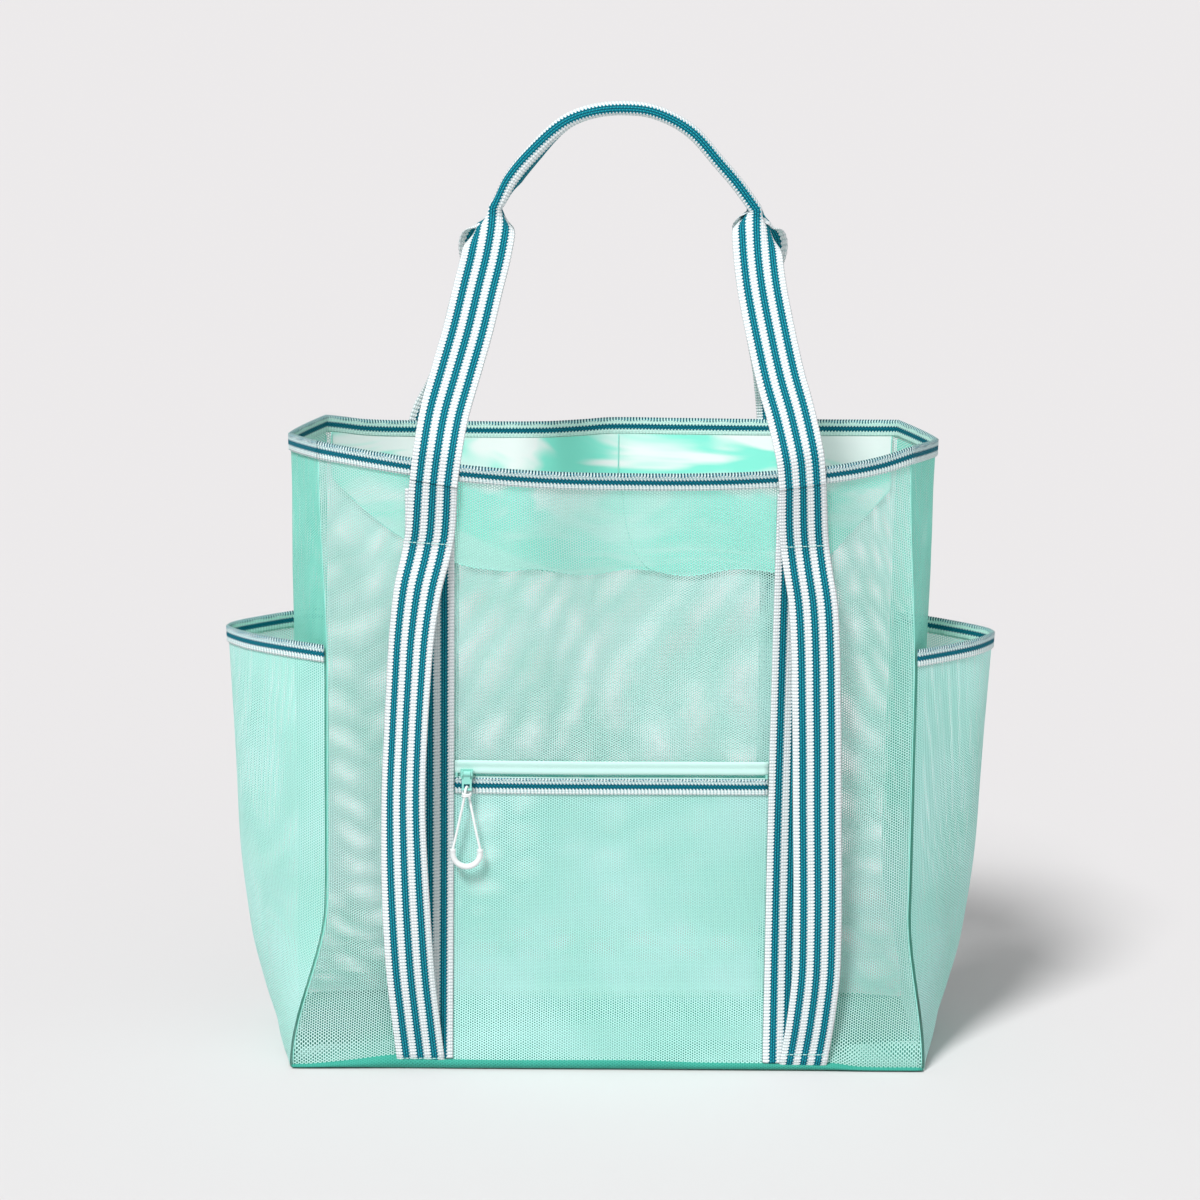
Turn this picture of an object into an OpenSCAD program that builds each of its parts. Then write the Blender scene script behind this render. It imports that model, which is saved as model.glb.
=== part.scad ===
// Mesh beach bag with an open top: two upright carrying handles, two loose
// shoulder straps, two side pockets and a zipped front pocket.
// The origin is the centre of the underside, +Z is up and the front faces -Y.

/* [Body] */
// Width of the base
base_w = 500; // [460:5:540]
// Depth of the base from front to back
base_d = 168; // [140:2:190]
// Height of the rim at its four corners
rim_h = 500; // [460:5:540]
// Width of the front and back panels above the base
panel_w = 458; // [440:2:464]
// Distance between the front and back corners of the rim
rim_d = 108; // [90:2:130]
// How far the middle of the front rim stands forward of its corners
front_bow = 60; // [30:1:70]
// How far the middle of the back rim stands behind its corners
back_bow = 51; // [30:1:70]
// Width across the side folds at the rim
fold_w = 508; // [480:2:530]
// How far the middle of the front rim dips below its corners
front_sag = 16; // [0:1:20]
// How far the middle of the back rim dips below its corners
back_sag = 10; // [0:1:20]
// Thickness of the net cloth
cloth_t = 1; // [0.8:0.1:1.2]
// Thickness of the doubled base cloth
base_t = 2; // [1.5:0.5:4]

/* [Webbing] */
// Width of the striped webbing
webbing_w = 38; // [30:1:40]
// Thickness of the striped webbing
webbing_t = 1.4; // [1:0.1:1.4]
// Distance from the middle of the bag to the middle of the sewn webbing
webbing_x = 142; // [130:1:150]
// Height of the row of stitches where the loose strap starts
lower_stitch_z = 428; // [400:1:440]
// Height of the row of stitches just below the rim
upper_stitch_z = 477; // [470:1:478]

/* [Handles] */
// Height of the top of the handles
handle_h = 757; // [700:1:800]
// Half of the distance between the ends of the rolled grip
grip_x = 105; // [90:1:115]
// Height of the ends of the rolled grip
grip_z = 677; // [640:1:690]
// Depth of the rolled grip, from its top to its lowest edge
grip_depth = 12; // [10:1:19]
// Thickness of the rolled grip
grip_t = 9; // [5:0.5:10]
// How far the grip leans to the right
grip_lean = 4; // [0:1:10]

/* [Side pockets] */
// Height of the side pockets
pocket_h = 340; // [280:5:380]
// How far the rim of a side pocket stands out from the panel corners
pocket_bulge = 73; // [40:1:80]

/* [Front pocket and zip] */
// Height of the zip above the floor
zip_z = 242; // [200:1:300]
// Length of the zip between the webbings
zip_l = 245; // [200:1:245]
// Travel of the zip slider
zip_travel = 226; // [180:1:226]

/* [Edge ribbon] */
// Height of the folded ribbon
ribbon_h = 12.7; // [10:0.1:14]
// Thickness of one layer of ribbon
ribbon_t = 0.75; // [0.5:0.05:0.8]

/* [Zip pull] */
// Diameter of the cord of the pull
cord_d = 2; // [1.5:0.1:2.2]
// Outer width of the moulded end of the pull
pull_end_w = 26; // [22:1:28]
// Thickness of the moulded end of the pull
pull_end_d = 4.6; // [4:0.1:5]

/* [Hidden] */

mint = [0.62, 0.87, 0.81];
deep_mint = [0.27, 0.66, 0.58];
white = [0.93, 0.95, 0.95];
teal = [0.05, 0.45, 0.55];

// Steps across the front and back panels, and across a gusset
FRONT_STEPS = 16;
SIDE_STEPS = 8;
// Shares of the height, closest where the corners taper above the base
LOW_ROWS = [0, 0.04, 0.08, 0.12, 0.16, 0.2];
HIGH_ROWS = [0.3, 0.4, 0.5, 0.6, 0.7, 0.8, 0.89];
// Smallest gap between layers that lie on each other
GAP = 0.3;

ribbon_row = 1 - ribbon_h / (rim_h - base_t);
wall_rows = concat(LOW_ROWS, HIGH_ROWS, [ribbon_row, 1]);

function mix(a, b, k) = a + (b - a) * k;
function smooth(k) = let (c = max(0, min(1, k))) c * c * (3 - 2 * c);
function unit(v) = v / norm(v);

// ---- The walls of the bag -------------------------------------------------

// Half width and half depth of the walls' corners at a share t of the height
function corner_x(t) = mix(base_w, panel_w, smooth(t / 0.2)) / 2;
function corner_y(t) = mix(base_d, rim_d, t) / 2;
// Half width across the side folds
function fold_x(t) = mix(base_w, fold_w, t) / 2;
// How much of the rim's bow is reached at a share t of the height
function bow_share(t) = pow(t, 2.5);
// Shape of the bow across a panel, where s runs from -1 to 1
function bow_shape(s) = 1 - pow(abs(s), 3);

function wall_z(t, sag) = base_t + t * (rim_h - base_t - sag);
function front_at(s, t) = [s * corner_x(t),
    -corner_y(t) - front_bow * bow_share(t) * bow_shape(s),
    wall_z(t, front_sag * bow_shape(s))];
function back_at(s, t) = [-s * corner_x(t),
    corner_y(t) + back_bow * bow_share(t) * bow_shape(s),
    wall_z(t, back_sag * bow_shape(s))];
// The right side wall, where q runs from -1 at the front to 1 at the back
function side_at(q, t) = [
    mix(corner_x(t), fold_x(t), 1 - pow(abs(q), mix(2, 1.2, t))),
    q * corner_y(t), wall_z(t, 4 * (1 - abs(q)))];

// The walls' closed outline at a share t, anticlockwise from the left front corner
function outline(t) = concat(
    [for (i = [0:FRONT_STEPS]) front_at(2 * i / FRONT_STEPS - 1, t)],
    [for (i = [1:SIDE_STEPS]) side_at(2 * i / SIDE_STEPS - 1, t)],
    [for (i = [1:FRONT_STEPS]) back_at(2 * i / FRONT_STEPS - 1, t)],
    [for (i = [1:SIDE_STEPS - 1])
        let (p = side_at(1 - 2 * i / SIDE_STEPS, t)) [-p[0], p[1], p[2]]]);

// The outline moved outwards in plan by a distance
function ring(t, out) = let (p = outline(t), n = len(p)) [for (i = [0:n - 1])
    let (d = p[(i + 1) % n] - p[(i + n - 1) % n], along = unit([d[0], d[1]]))
        p[i] + out * [along[1], -along[0], 0]];

// Points first to last of the rings at each row of heights
function wall_grid(rows, out, first, last) = [for (t = rows)
    let (r = ring(t, out)) [for (i = [first:last]) r[i % len(r)]]];

// Depth of the front and back panels' outer face at a place on them
function height_share(x, z, sag) = let (rough = (z - base_t) / (rim_h - base_t))
    (z - base_t) / (rim_h - base_t - sag * bow_shape(x / corner_x(rough)));
function panel_y(x, z, bow, sag) = let (t = height_share(x, z, sag))
    corner_y(t) + bow * bow_share(t) * bow_shape(x / corner_x(t));
function front_y(x, z, out) = -panel_y(x, z, front_bow, front_sag) - out;
function back_y(x, z, out) = panel_y(x, z, back_bow, back_sag) + out;

// ---- Shapes ---------------------------------------------------------------

// A closed solid between two grids of points, with the second one outside
module shell(inner, outer) {
    rows = len(inner);
    cols = len(inner[0]);
    points = [for (g = [inner, outer]) for (r = g) for (p = r) p];
    function id(g, r, c) = (g * rows + r) * cols + c;
    function face(g, r, c) = [[id(g, r, c), id(g, r + 1, c), id(g, r + 1, c + 1)],
        [id(g, r, c), id(g, r + 1, c + 1), id(g, r, c + 1)]];
    function flip(f) = [f[2], f[1], f[0]];
    function wall(a, b, c, d) = [[a, b, c], [a, c, d]];
    last_r = rows - 1;
    last_c = cols - 1;
    cells = [for (r = [0:rows - 2]) for (c = [0:cols - 2]) [r, c]];
    faces = concat(
        [for (k = cells) each face(1, k[0], k[1])],
        [for (k = cells) for (f = face(0, k[0], k[1])) flip(f)],
        [for (c = [0:cols - 2]) each
            wall(id(0, 0, c), id(1, 0, c), id(1, 0, c + 1), id(0, 0, c + 1))],
        [for (c = [0:cols - 2]) each wall(id(0, last_r, c), id(0, last_r, c + 1),
            id(1, last_r, c + 1), id(1, last_r, c))],
        [for (r = [0:rows - 2]) each
            wall(id(0, r, 0), id(0, r + 1, 0), id(1, r + 1, 0), id(1, r, 0))],
        [for (r = [0:rows - 2]) each wall(id(0, r, last_c), id(1, r, last_c),
            id(1, r + 1, last_c), id(0, r + 1, last_c))]);
    polyhedron(points = points, faces = faces, convexity = 6);
}

// A closed solid swept through sections, each a ring of points that runs
// anticlockwise about the direction of travel. On the sides in turned, the
// triangles' diagonals run the other way.
module sweep(sections, closed = false, turned = []) {
    n = len(sections);
    m = len(sections[0]);
    points = [for (s = sections) for (p = s) p];
    function id(i, j) = (i % n) * m + j % m;
    faces = concat(
        [for (i = [0:closed ? n - 1 : n - 2]) for (j = [0:m - 1])
            each len(search(j, turned)) > 0
                ? [[id(i, j), id(i + 1, j), id(i, j + 1)],
                    [id(i + 1, j), id(i + 1, j + 1), id(i, j + 1)]]
                : [[id(i, j), id(i + 1, j), id(i + 1, j + 1)],
                    [id(i, j), id(i + 1, j + 1), id(i, j + 1)]]],
        closed ? [] : [[for (j = [0:m - 1]) id(0, j)],
            [for (j = [0:m - 1]) id(n - 1, m - 1 - j)]]);
    polyhedron(points = points, faces = faces, convexity = 8);
}

// A round tube along a route of points, with flat-sided sections
module tube(route, r, sides) {
    last = len(route) - 1;
    sweep([for (i = [0:last])
        let (d = unit(route[min(i + 1, last)] - route[max(i - 1, 0)]),
            a = unit(cross(d, [0.1, 1, 0.05])), b = cross(d, a))
        [for (j = [0:sides - 1])
            route[i] + r * (a * cos(360 * j / sides) + b * sin(360 * j / sides))]]);
}

// A strip of cloth on the front panel between two layers of offsets
module front_patch(x0, x1, z0, z1, out, t, cols, rows) {
    function at(o) = [for (j = [0:rows]) [for (i = [0:cols])
        let (x = mix(x0, x1, i / cols), z = mix(z0, z1, j / rows))
            [x, front_y(x, z, o), z]]];
    shell(at(out), at(out + t));
}

// ---- Walls and base -------------------------------------------------------

front_end = FRONT_STEPS;
right_end = front_end + SIDE_STEPS;
back_end = right_end + FRONT_STEPS;
left_end = back_end + SIDE_STEPS;

module wall(first, last) {
    shell(wall_grid(wall_rows, 0, first, last),
        wall_grid(wall_rows, cloth_t, first, last));
}

module base_panel() {
    corner_r = 6;
    margin = 1.5;
    w = base_w + 2 * margin;
    d = base_d + 2 * margin;
    color(deep_mint) linear_extrude(base_t) {
        square([w - 2 * corner_r, d], center = true);
        square([w, d - 2 * corner_r], center = true);
        for (x = [-1, 1], y = [-1, 1])
            translate([x * (w / 2 - corner_r), y * (d / 2 - corner_r)])
                circle(corner_r, $fn = 48);
    }
}

module front_panel() {
    color(mint) wall(0, front_end);
}

module right_gusset() {
    color(mint) wall(front_end, right_end);
}

module back_panel() {
    color(mint) wall(right_end, back_end);
}

module left_gusset() {
    color(mint) wall(back_end, left_end);
}

// A thin raised seam along each of the four upright corners
module seam_piping() {
    piping_r = 0.8;
    seam_rows = [for (t = wall_rows) if (t > 0 && t < ribbon_row) t];
    for (k = [0, front_end, right_end, back_end])
        color(mint) tube([for (t = concat([0.02], seam_rows, [ribbon_row - 0.01]))
            ring(t, cloth_t + piping_r + GAP)[k]], piping_r, 6);
}

// Ribbon folded over the rim, down both sides of the walls
module rim_binding() {
    out_0 = cloth_t + 0.2;
    in_0 = -0.2;
    lift = 0.2;
    function layer(t, out, up) = [for (p = ring(t, out)) p + [0, 0, up]];
    corners = [layer(ribbon_row, in_0, 0), layer(1, in_0, lift),
        layer(1, out_0, lift), layer(ribbon_row, out_0, 0),
        layer(ribbon_row, out_0 + ribbon_t, 0),
        layer(1, out_0 + ribbon_t, lift + ribbon_t),
        layer(1, in_0 - ribbon_t, lift + ribbon_t),
        layer(ribbon_row, in_0 - ribbon_t, 0)];
    color(white) sweep([for (i = [0:len(corners[0]) - 1])
        [for (c = corners) c[i]]], closed = true, turned = [2, 6]);
}

// Lining cloth that hangs inside the back panel, narrower at the bottom
module inner_pocket() {
    top_row = ribbon_row - 0.004;
    bottom_row = 0.72;
    rows = 6;
    cols = 12;
    function at(out) = [for (j = [0:rows]) [for (i = [0:cols])
        let (k = j / rows, t = mix(bottom_row, top_row, k),
            left = mix(-0.42, -0.93, smooth(k)), right = mix(0.8, 0.93, k),
            p = back_at(-mix(left, right, i / cols), t))
        p - [0, out, 0]]];
    color(deep_mint) shell(at(3.2), at(2.2));
}

// ---- Side pockets ---------------------------------------------------------

// How far the pocket stands out, as a share of its bulge, at a height
function pocket_share(z) = lookup(z, [[2, 0.34], [15, 0.42], [45, 0.56],
    [90, 0.74], [150, 0.87], [220, 0.93], [340, 1], [400, 1]]);

// The right pocket's wall from its front seam, q = -1, to its back seam, q = 1
function pocket_at(q, out, z) = let (t = height_share(panel_w / 2, z, 0),
        stand = pocket_bulge * pocket_share(z), x0 = corner_x(t) + 2.6)
    [x0 + (stand - (corner_x(t) - panel_w / 2) * 0.7 + out) * (1 - pow(abs(q), 1.5)),
        q * (corner_y(t) + out * 0.8 - 0.5), z];

POCKET_STEPS = 12;
pocket_ribbon_z = pocket_h - ribbon_h;
pocket_rows = concat([base_t + 0.3],
    [for (t = wall_rows) let (z = wall_z(t, 0)) if (t > 0 && z < pocket_ribbon_z - 5) z],
    [pocket_ribbon_z, pocket_h]);

module pocket(side) {
    function at(out) = [for (z = pocket_rows) [for (i = [0:POCKET_STEPS])
        pocket_at(side * (2 * i / POCKET_STEPS - 1), out, z)]];
    function turned(g) = [for (r = g) [for (p = r) [side * p[0], p[1], p[2]]]];
    shell(turned(at(0)), turned(at(cloth_t)));
}

// Ribbon folded over a pocket's rim: the outer leg, the top and the inner leg
module pocket_binding(side) {
    top = pocket_h + 0.2;
    bottom = pocket_ribbon_z;
    outer = cloth_t + 0.3;
    inner = -0.3;
    function layer(t) = [for (leg = [[outer + t, bottom], [outer + t, top + t],
            [inner - t, top + t], [inner - t, bottom]])
        [for (i = [0:POCKET_STEPS])
            let (p = pocket_at(side * (2 * i / POCKET_STEPS - 1), leg[0], leg[1]))
                [side * p[0], p[1], p[2]]]];
    shell(layer(0), layer(ribbon_t));
}

module left_pocket() {
    color(mint) pocket(-1);
}

module right_pocket() {
    color(mint) pocket(1);
}

module left_pocket_binding() {
    color(white) pocket_binding(-1);
}

module right_pocket_binding() {
    color(white) pocket_binding(1);
}

// ---- Front pocket and zip -------------------------------------------------

pocket_out = cloth_t + GAP;
pocket_top = zip_z - 12;
trim_out = pocket_out + 0.8 + GAP;
coil_h = 0.9;

module front_pocket_panel() {
    color(mint) front_patch(-zip_l / 2, zip_l / 2, 5, pocket_top,
        pocket_out, 0.8, 6, 6);
}

module front_pocket_binding() {
    color(white) front_patch(-zip_l / 2, zip_l / 2, zip_z - 15, zip_z - 2,
        trim_out, 0.9, 10, 1);
}

module zip_lower_tape() {
    color(mint) front_patch(-zip_l / 2, zip_l / 2, pocket_top + 0.2,
        zip_z - coil_h - 0.2, pocket_out, 0.8, 10, 1);
}

module zip_upper_tape() {
    color(mint) front_patch(-zip_l / 2, zip_l / 2, zip_z + coil_h + 0.2,
        zip_z + 12, pocket_out, 0.8, 10, 1);
}

module zip_lower_coil() {
    color(deep_mint) front_patch(-zip_l / 2, zip_l / 2, zip_z - coil_h,
        zip_z - 0.05, pocket_out, 1.3, 10, 1);
}

module zip_upper_coil() {
    color(deep_mint) front_patch(-zip_l / 2, zip_l / 2, zip_z + 0.05,
        zip_z + coil_h, pocket_out, 1.3, 10, 1);
}

module zip_stops() {
    stop = [1.6, 1, 3.4];
    for (side = [-1, 1]) {
        x = side * (zip_l / 2 - 1.4);
        color(mint) translate([x - stop[0] / 2,
            front_y(x, zip_z, pocket_out + 1.5) - stop[1], zip_z - stop[2] / 2])
            cube(stop);
    }
}

// ---- Webbing sewn to the panels, and loose straps -------------------------

// A flat webbing on the front panel, up to just under the rim's ribbon
module front_webbing(side) {
    half = webbing_w / 2;
    front_patch(side * webbing_x - half, side * webbing_x + half, 4,
        upper_stitch_z - 5, cloth_t + 0.5, webbing_t, 4, 9);
}

back_webbing_lift = cloth_t + 1.3;

// A strip of cloth on the back panel between two layers of offsets
module back_patch(x0, x1, z0, z1, out, t, cols, rows) {
    function at(o) = [for (j = [0:rows]) [for (i = [0:cols])
        let (x = mix(x1, x0, i / cols), z = mix(z0, z1, j / rows))
            [x, back_y(x, z, o), z]]];
    shell(at(out), at(out + t));
}

module back_webbing(side) {
    half = webbing_w / 2;
    back_patch(side * webbing_x - half, side * webbing_x + half, 4,
        upper_stitch_z + 2, back_webbing_lift, webbing_t, 4, 10);
}

module front_left_webbing() {
    color(white) front_webbing(-1);
}

module front_right_webbing() {
    color(white) front_webbing(1);
}

module back_left_webbing() {
    color(white) back_webbing(-1);
}

module back_right_webbing() {
    color(white) back_webbing(1);
}

// How far the loose strap hangs in front of the panel, by height
strap_lift = cloth_t + webbing_t + 0.8;
strap_bulge = [[4, 0], [14, 0.3], [40, 5], [80, 11], [130, 16], [190, 19.5],
    [250, 20.5], [310, 19], [360, 14.5], [395, 8.5], [415, 3], [428, 0], [500, 0]];
// Distance from the middle of the bag to the middle of the loose strap
strap_middle = [[4, 148], [40, 152], [80, 155.5], [150, 158.6], [250, 158],
    [310, 155.5], [360, 152.4], [395, 148.5], [428, 142.5], [480, 138.5]];
strap_rows = [4, 14, 40, 80, 130, 190, 250, 310, 360, 395, 415, 428, 452, 480];

module loose_strap(side) {
    cols = 3;
    function at(out) = [for (z = strap_rows) [for (i = [0:cols])
        let (x = side * lookup(z, strap_middle) + mix(-0.5, 0.5, i / cols) * webbing_w)
            [x, front_y(x, z, strap_lift + out + lookup(z, strap_bulge)), z]]];
    shell(at(0), at(webbing_t));
}

module front_left_strap() {
    color(white) loose_strap(-1);
}

module front_right_strap() {
    color(white) loose_strap(1);
}

// Rows of stitches across the webbings
module webbing_stitches() {
    row = [32, 0.5, 0.9];
    front_out = strap_lift + webbing_t + 0.1;
    back_out = back_webbing_lift + webbing_t + 0.3;
    for (side = [-1, 1], z = [lower_stitch_z + 2, upper_stitch_z]) {
        middle = side * lookup(z, strap_middle);
        color(mint) front_patch(middle - row[0] / 2, middle + row[0] / 2, z, z + row[2],
            front_out, row[1], 3, 1);
        color(mint) back_patch(side * webbing_x - row[0] / 2,
            side * webbing_x + row[0] / 2, z, z + row[2], back_out, row[1], 4, 1);
    }
}

// ---- Carrying handles -----------------------------------------------------

ARCH_STEPS = 18;
leg_x0 = 137.5;
leg_z0 = upper_stitch_z + 8;
// Shares of a leg's length, closest near the rim, which it leans over
leg_shares = [0, 0.1, 0.2, 0.32, 0.46, 0.6, 0.74, 0.88, 1];
upright = leg_shares[1];

// The webbing's middle line: up a leg, where k runs from 0 to 1
function leg_at(k, y0, y1) = [grip_x + (leg_x0 - grip_x) * pow(1 - k, 1.1),
    mix(y0, y1, max(0, (k - upright) / (1 - upright))), mix(leg_z0, grip_z - 6, k)];
// and over the grip, where u runs from -1 to 1
function arch_at(u, y1) = [u * grip_x, y1,
    handle_h - (handle_h - grip_z) * pow(abs(u), 2.2)];
// Sideways lean at a height: none at the rim, and all of it on the grip
function lean_at(z) = grip_lean * pow(min(1, max(0, (z - leg_z0) / (grip_z - leg_z0))), 1.5);

// One handle with its legs' feet at y0 and its grip at y1. A foot lies along
// the panel behind it, which steps back by slope for each millimetre sideways.
module handle(y0, y1, slope) {
    legs = [for (k = leg_shares) leg_at(k, y0, y1)];
    leg_last = len(legs) - 1;
    arch = [for (i = [0:ARCH_STEPS]) arch_at(2 * i / ARCH_STEPS - 1, y1)];
    straight = concat([for (p = legs) [-p[0], p[1], p[2]]], arch,
        [for (i = [leg_last:-1:0]) legs[i]]);
    line = [for (p = straight) p + [lean_at(p[2]), 0, 0]];
    last = len(line) - 1;
    leg_slopes = [for (k = leg_shares) sign(y0) * slope * pow(1 - k, 1.5)];
    slopes = concat(leg_slopes, [for (p = arch) 0],
        [for (i = [leg_last:-1:0]) leg_slopes[i]]);
    // 0 on the flat legs and 1 on the rolled grip
    function fold(i) = smooth((min(i, last - i) - leg_last + 2) / 3);
    sweep([for (i = [0:last])
        let (d = unit(line[min(i + 1, last)] - line[max(i - 1, 0)]),
            across = unit(unit([d[2], 0, -d[0]]) + [0, slopes[i], 0]),
            n = unit(cross(d, across)),
            f = fold(i), half = mix(webbing_t, grip_t, f) / 2,
            outer = mix(-webbing_w / 2, 0, f),
            inner = mix(webbing_w / 2, grip_depth, f))
        [line[i] + outer * across - half * n, line[i] + inner * across - half * n,
            line[i] + inner * across + half * n, line[i] + outer * across + half * n]]);
}

// Depth of the feet of the handles, just outside the ribbon and the strap
foot_out = strap_lift + webbing_t / 2 + 1.4;
grip_y = grip_t / 2 + 0.5;
function foot_slope(bow, sag) = (panel_y(leg_x0 - 10, leg_z0, bow, sag)
    - panel_y(leg_x0 + 10, leg_z0, bow, sag)) / 20;

module front_handle() {
    color(white) handle(front_y(leg_x0, leg_z0, foot_out), -grip_y,
        foot_slope(front_bow, front_sag));
}

module back_handle() {
    color(white) handle(back_y(leg_x0, leg_z0, foot_out), grip_y,
        foot_slope(back_bow, back_sag));
}

// ---- Zip slider and its pull ----------------------------------------------

slider_x = -zip_travel / 2;
slider_back = front_y(0, zip_z, trim_out + 1.4);
slider_size = [10, 1.8, 8.5];
pin_r = 0.9;
pin_clearance = 0.25;
pin_y = slider_back - slider_size[1] - 2.5;
pin_z = zip_z + 3;
tab_w = 7.6;
tab_t = 1.5;
eye_r = 2.1;
// The round bar at the tab's lower edge, which the cord hangs from
bar_r = 1;
bar_z = pin_z - 13;
window = [4.6, 3.6];

module zip_slider() {
    post = [1.2, 3.6, 3.4];
    color(mint) {
        translate([slider_x - slider_size[0] / 2, slider_back - slider_size[1],
            zip_z - slider_size[2] / 2 + 1.5]) difference() {
            cube(slider_size);
            for (x = [0, slider_size[0]])
                translate([x, -1, 0]) rotate([0, 45, 0])
                    translate([-1, 0, -1]) cube([2, slider_size[1] + 2, 2]);
        }
        for (side = [-1, 1])
            translate([slider_x + side * 3.6 - post[0] / 2, pin_y - 1.1,
                pin_z - post[2] / 2])
                cube([post[0], slider_back - slider_size[1] - pin_y + 1.3, post[2]]);
        translate([slider_x - 3.6, pin_y, pin_z]) rotate([0, 90, 0])
            cylinder(r = pin_r, h = 7.2, $fn = 24);
    }
}

module zip_puller() {
    eye_w = 5.4;
    color(mint) difference() {
        union() {
            translate([slider_x - eye_w / 2, pin_y, pin_z]) rotate([0, 90, 0])
                cylinder(r = eye_r, h = eye_w, $fn = 32);
            translate([slider_x - eye_w / 2, pin_y - tab_t / 2, pin_z - 5])
                cube([eye_w, tab_t, 5]);
            translate([slider_x - tab_w / 2, pin_y - tab_t / 2, bar_z])
                cube([tab_w, tab_t, pin_z - 4.5 - bar_z]);
            translate([slider_x - tab_w / 2, pin_y, bar_z]) rotate([0, 90, 0])
                cylinder(r = bar_r, h = tab_w, $fn = 24);
        }
        translate([slider_x - eye_w, pin_y, pin_z]) rotate([0, 90, 0])
            cylinder(r = pin_r + pin_clearance, h = 2 * eye_w, $fn = 24);
        translate([slider_x - window[0] / 2, pin_y - 3, bar_z + bar_r])
            cube([window[0], 6, window[1]]);
        translate([slider_x - window[0] / 2, pin_y - 3, bar_z])
            difference() {
                cube([window[0], 6, bar_r]);
                translate([-1, 3, 0]) rotate([0, 90, 0])
                    cylinder(r = bar_r, h = window[0] + 2, $fn = 24);
            }
    }
}

// The cord's route: up from one socket, over the bar and down to the other.
// Each point is measured from the middle of the bar.
pull_r = (pull_end_w - pull_end_d) / 2;
pull_end_top = -49;
wrap = bar_r + cord_d / 2 + 0.25;
half_route = [[0, wrap], [0.6, 1.6], [1, 0.2], [1.3, -2], [1.9, -6], [3, -12],
    [4.6, -20], [6.4, -29], [8.3, -38], [9.8, -44.5], [pull_r, pull_end_top]];
half_lean = [0, 1.5, wrap, 2.1, 1.6, 1, 0.5, 0.2, 0, 0, 0];
function cord_point(i, side) = [slider_x + side * half_route[i][0],
    pin_y + side * half_lean[i], bar_z + half_route[i][1]];
cord_route = concat(
    [for (i = [len(half_route) - 1:-1:1]) cord_point(i, -1)],
    [for (i = [0:len(half_route) - 1]) cord_point(i, 1)]);

module pull_cord() {
    color(white) tube(cord_route, cord_d / 2, 8);
}

module pull_end() {
    leg = 3;
    color(white) translate([slider_x, pin_y, bar_z + pull_end_top - leg]) {
        rotate([90, 0, 0]) difference() {
            rotate_extrude($fn = 48) translate([pull_r, 0])
                circle(pull_end_d / 2, $fn = 24);
            translate([-pull_end_w, 0, -pull_end_d]) cube([2 * pull_end_w,
                pull_end_w, 2 * pull_end_d]);
        }
        for (side = [-1, 1])
            translate([side * pull_r, 0, 0]) cylinder(r = pull_end_d / 2,
                h = leg, $fn = 24);
    }
}

base_panel();
front_panel();
right_gusset();
back_panel();
left_gusset();
seam_piping();
rim_binding();
left_pocket();
right_pocket();
left_pocket_binding();
right_pocket_binding();
inner_pocket();
front_pocket_panel();
front_pocket_binding();
zip_lower_tape();
zip_upper_tape();
zip_lower_coil();
zip_upper_coil();
zip_stops();
front_left_webbing();
front_right_webbing();
back_left_webbing();
back_right_webbing();
front_left_strap();
front_right_strap();
webbing_stitches();
front_handle();
back_handle();
zip_slider();
zip_puller();
pull_cord();
pull_end();
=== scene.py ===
"""Mesh beach bag: fabric, webbing, ribbon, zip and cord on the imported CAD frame.

The walls follow the same formulas as the CAD model's walls.
"""
import math

import bpy
from mathutils import Matrix, Vector


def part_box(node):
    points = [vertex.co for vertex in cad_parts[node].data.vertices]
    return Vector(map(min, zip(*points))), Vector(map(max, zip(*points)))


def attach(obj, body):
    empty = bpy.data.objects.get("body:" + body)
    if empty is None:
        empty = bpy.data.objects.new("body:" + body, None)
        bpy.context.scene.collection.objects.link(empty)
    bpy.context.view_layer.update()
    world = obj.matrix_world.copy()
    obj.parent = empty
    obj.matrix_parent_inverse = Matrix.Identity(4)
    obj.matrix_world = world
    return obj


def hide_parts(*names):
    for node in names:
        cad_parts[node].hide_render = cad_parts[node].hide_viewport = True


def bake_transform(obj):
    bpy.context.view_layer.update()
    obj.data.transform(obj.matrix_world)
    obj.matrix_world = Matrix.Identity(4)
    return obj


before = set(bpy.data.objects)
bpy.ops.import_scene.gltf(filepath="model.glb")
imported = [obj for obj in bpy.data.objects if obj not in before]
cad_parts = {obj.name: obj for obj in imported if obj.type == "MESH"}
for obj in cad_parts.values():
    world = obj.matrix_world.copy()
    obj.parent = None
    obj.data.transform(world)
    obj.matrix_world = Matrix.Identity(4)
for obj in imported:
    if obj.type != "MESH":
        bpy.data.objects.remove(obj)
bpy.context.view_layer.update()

MM = 0.001


# ---- Driving dimensions, from the frame ----

def node_box(name):
    """Lowest and highest corner of a CAD node in millimetres."""
    low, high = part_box(name)
    return [c / MM for c in low], [c / MM for c in high]


BASE_W, BASE_D = 500, 168
RIM_H = round(node_box("front_panel")[1][2])
PANEL_W, RIM_D, FOLD_W = 458, 108, 508
FRONT_BOW, BACK_BOW = 60, 51
FRONT_LEAN = 7
BASE_T = 2
WEBBING_W, WEBBING_T, WEBBING_X = 38, 1.4, 142
WEAVE_RIB, WEAVE_COLUMN = 2.7, 1.9
RIBBON_H, RIBBON_T = 12.7, 0.75
POCKET_H = round(node_box("right_pocket")[1][2])
POCKET_BULGE = 73
ZIP_Z, ZIP_HALF = 242, 122.5
LOWER_STITCH_Z, UPPER_STITCH_Z = 430, 477.5
# Where a strap starts to turn towards the handle's foot, where it ends, and the grip's ends
TURN_Z, BAND_TOP, GRIP_Z = 450, 478, 677
LEG_X = 137.5
WALL_H = RIM_H - BASE_T
RIBBON_ROW = 1 - RIBBON_H / WALL_H


# ---- Small maths ----

def mix(a, b, k):
    return a + (b - a) * k


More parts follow.
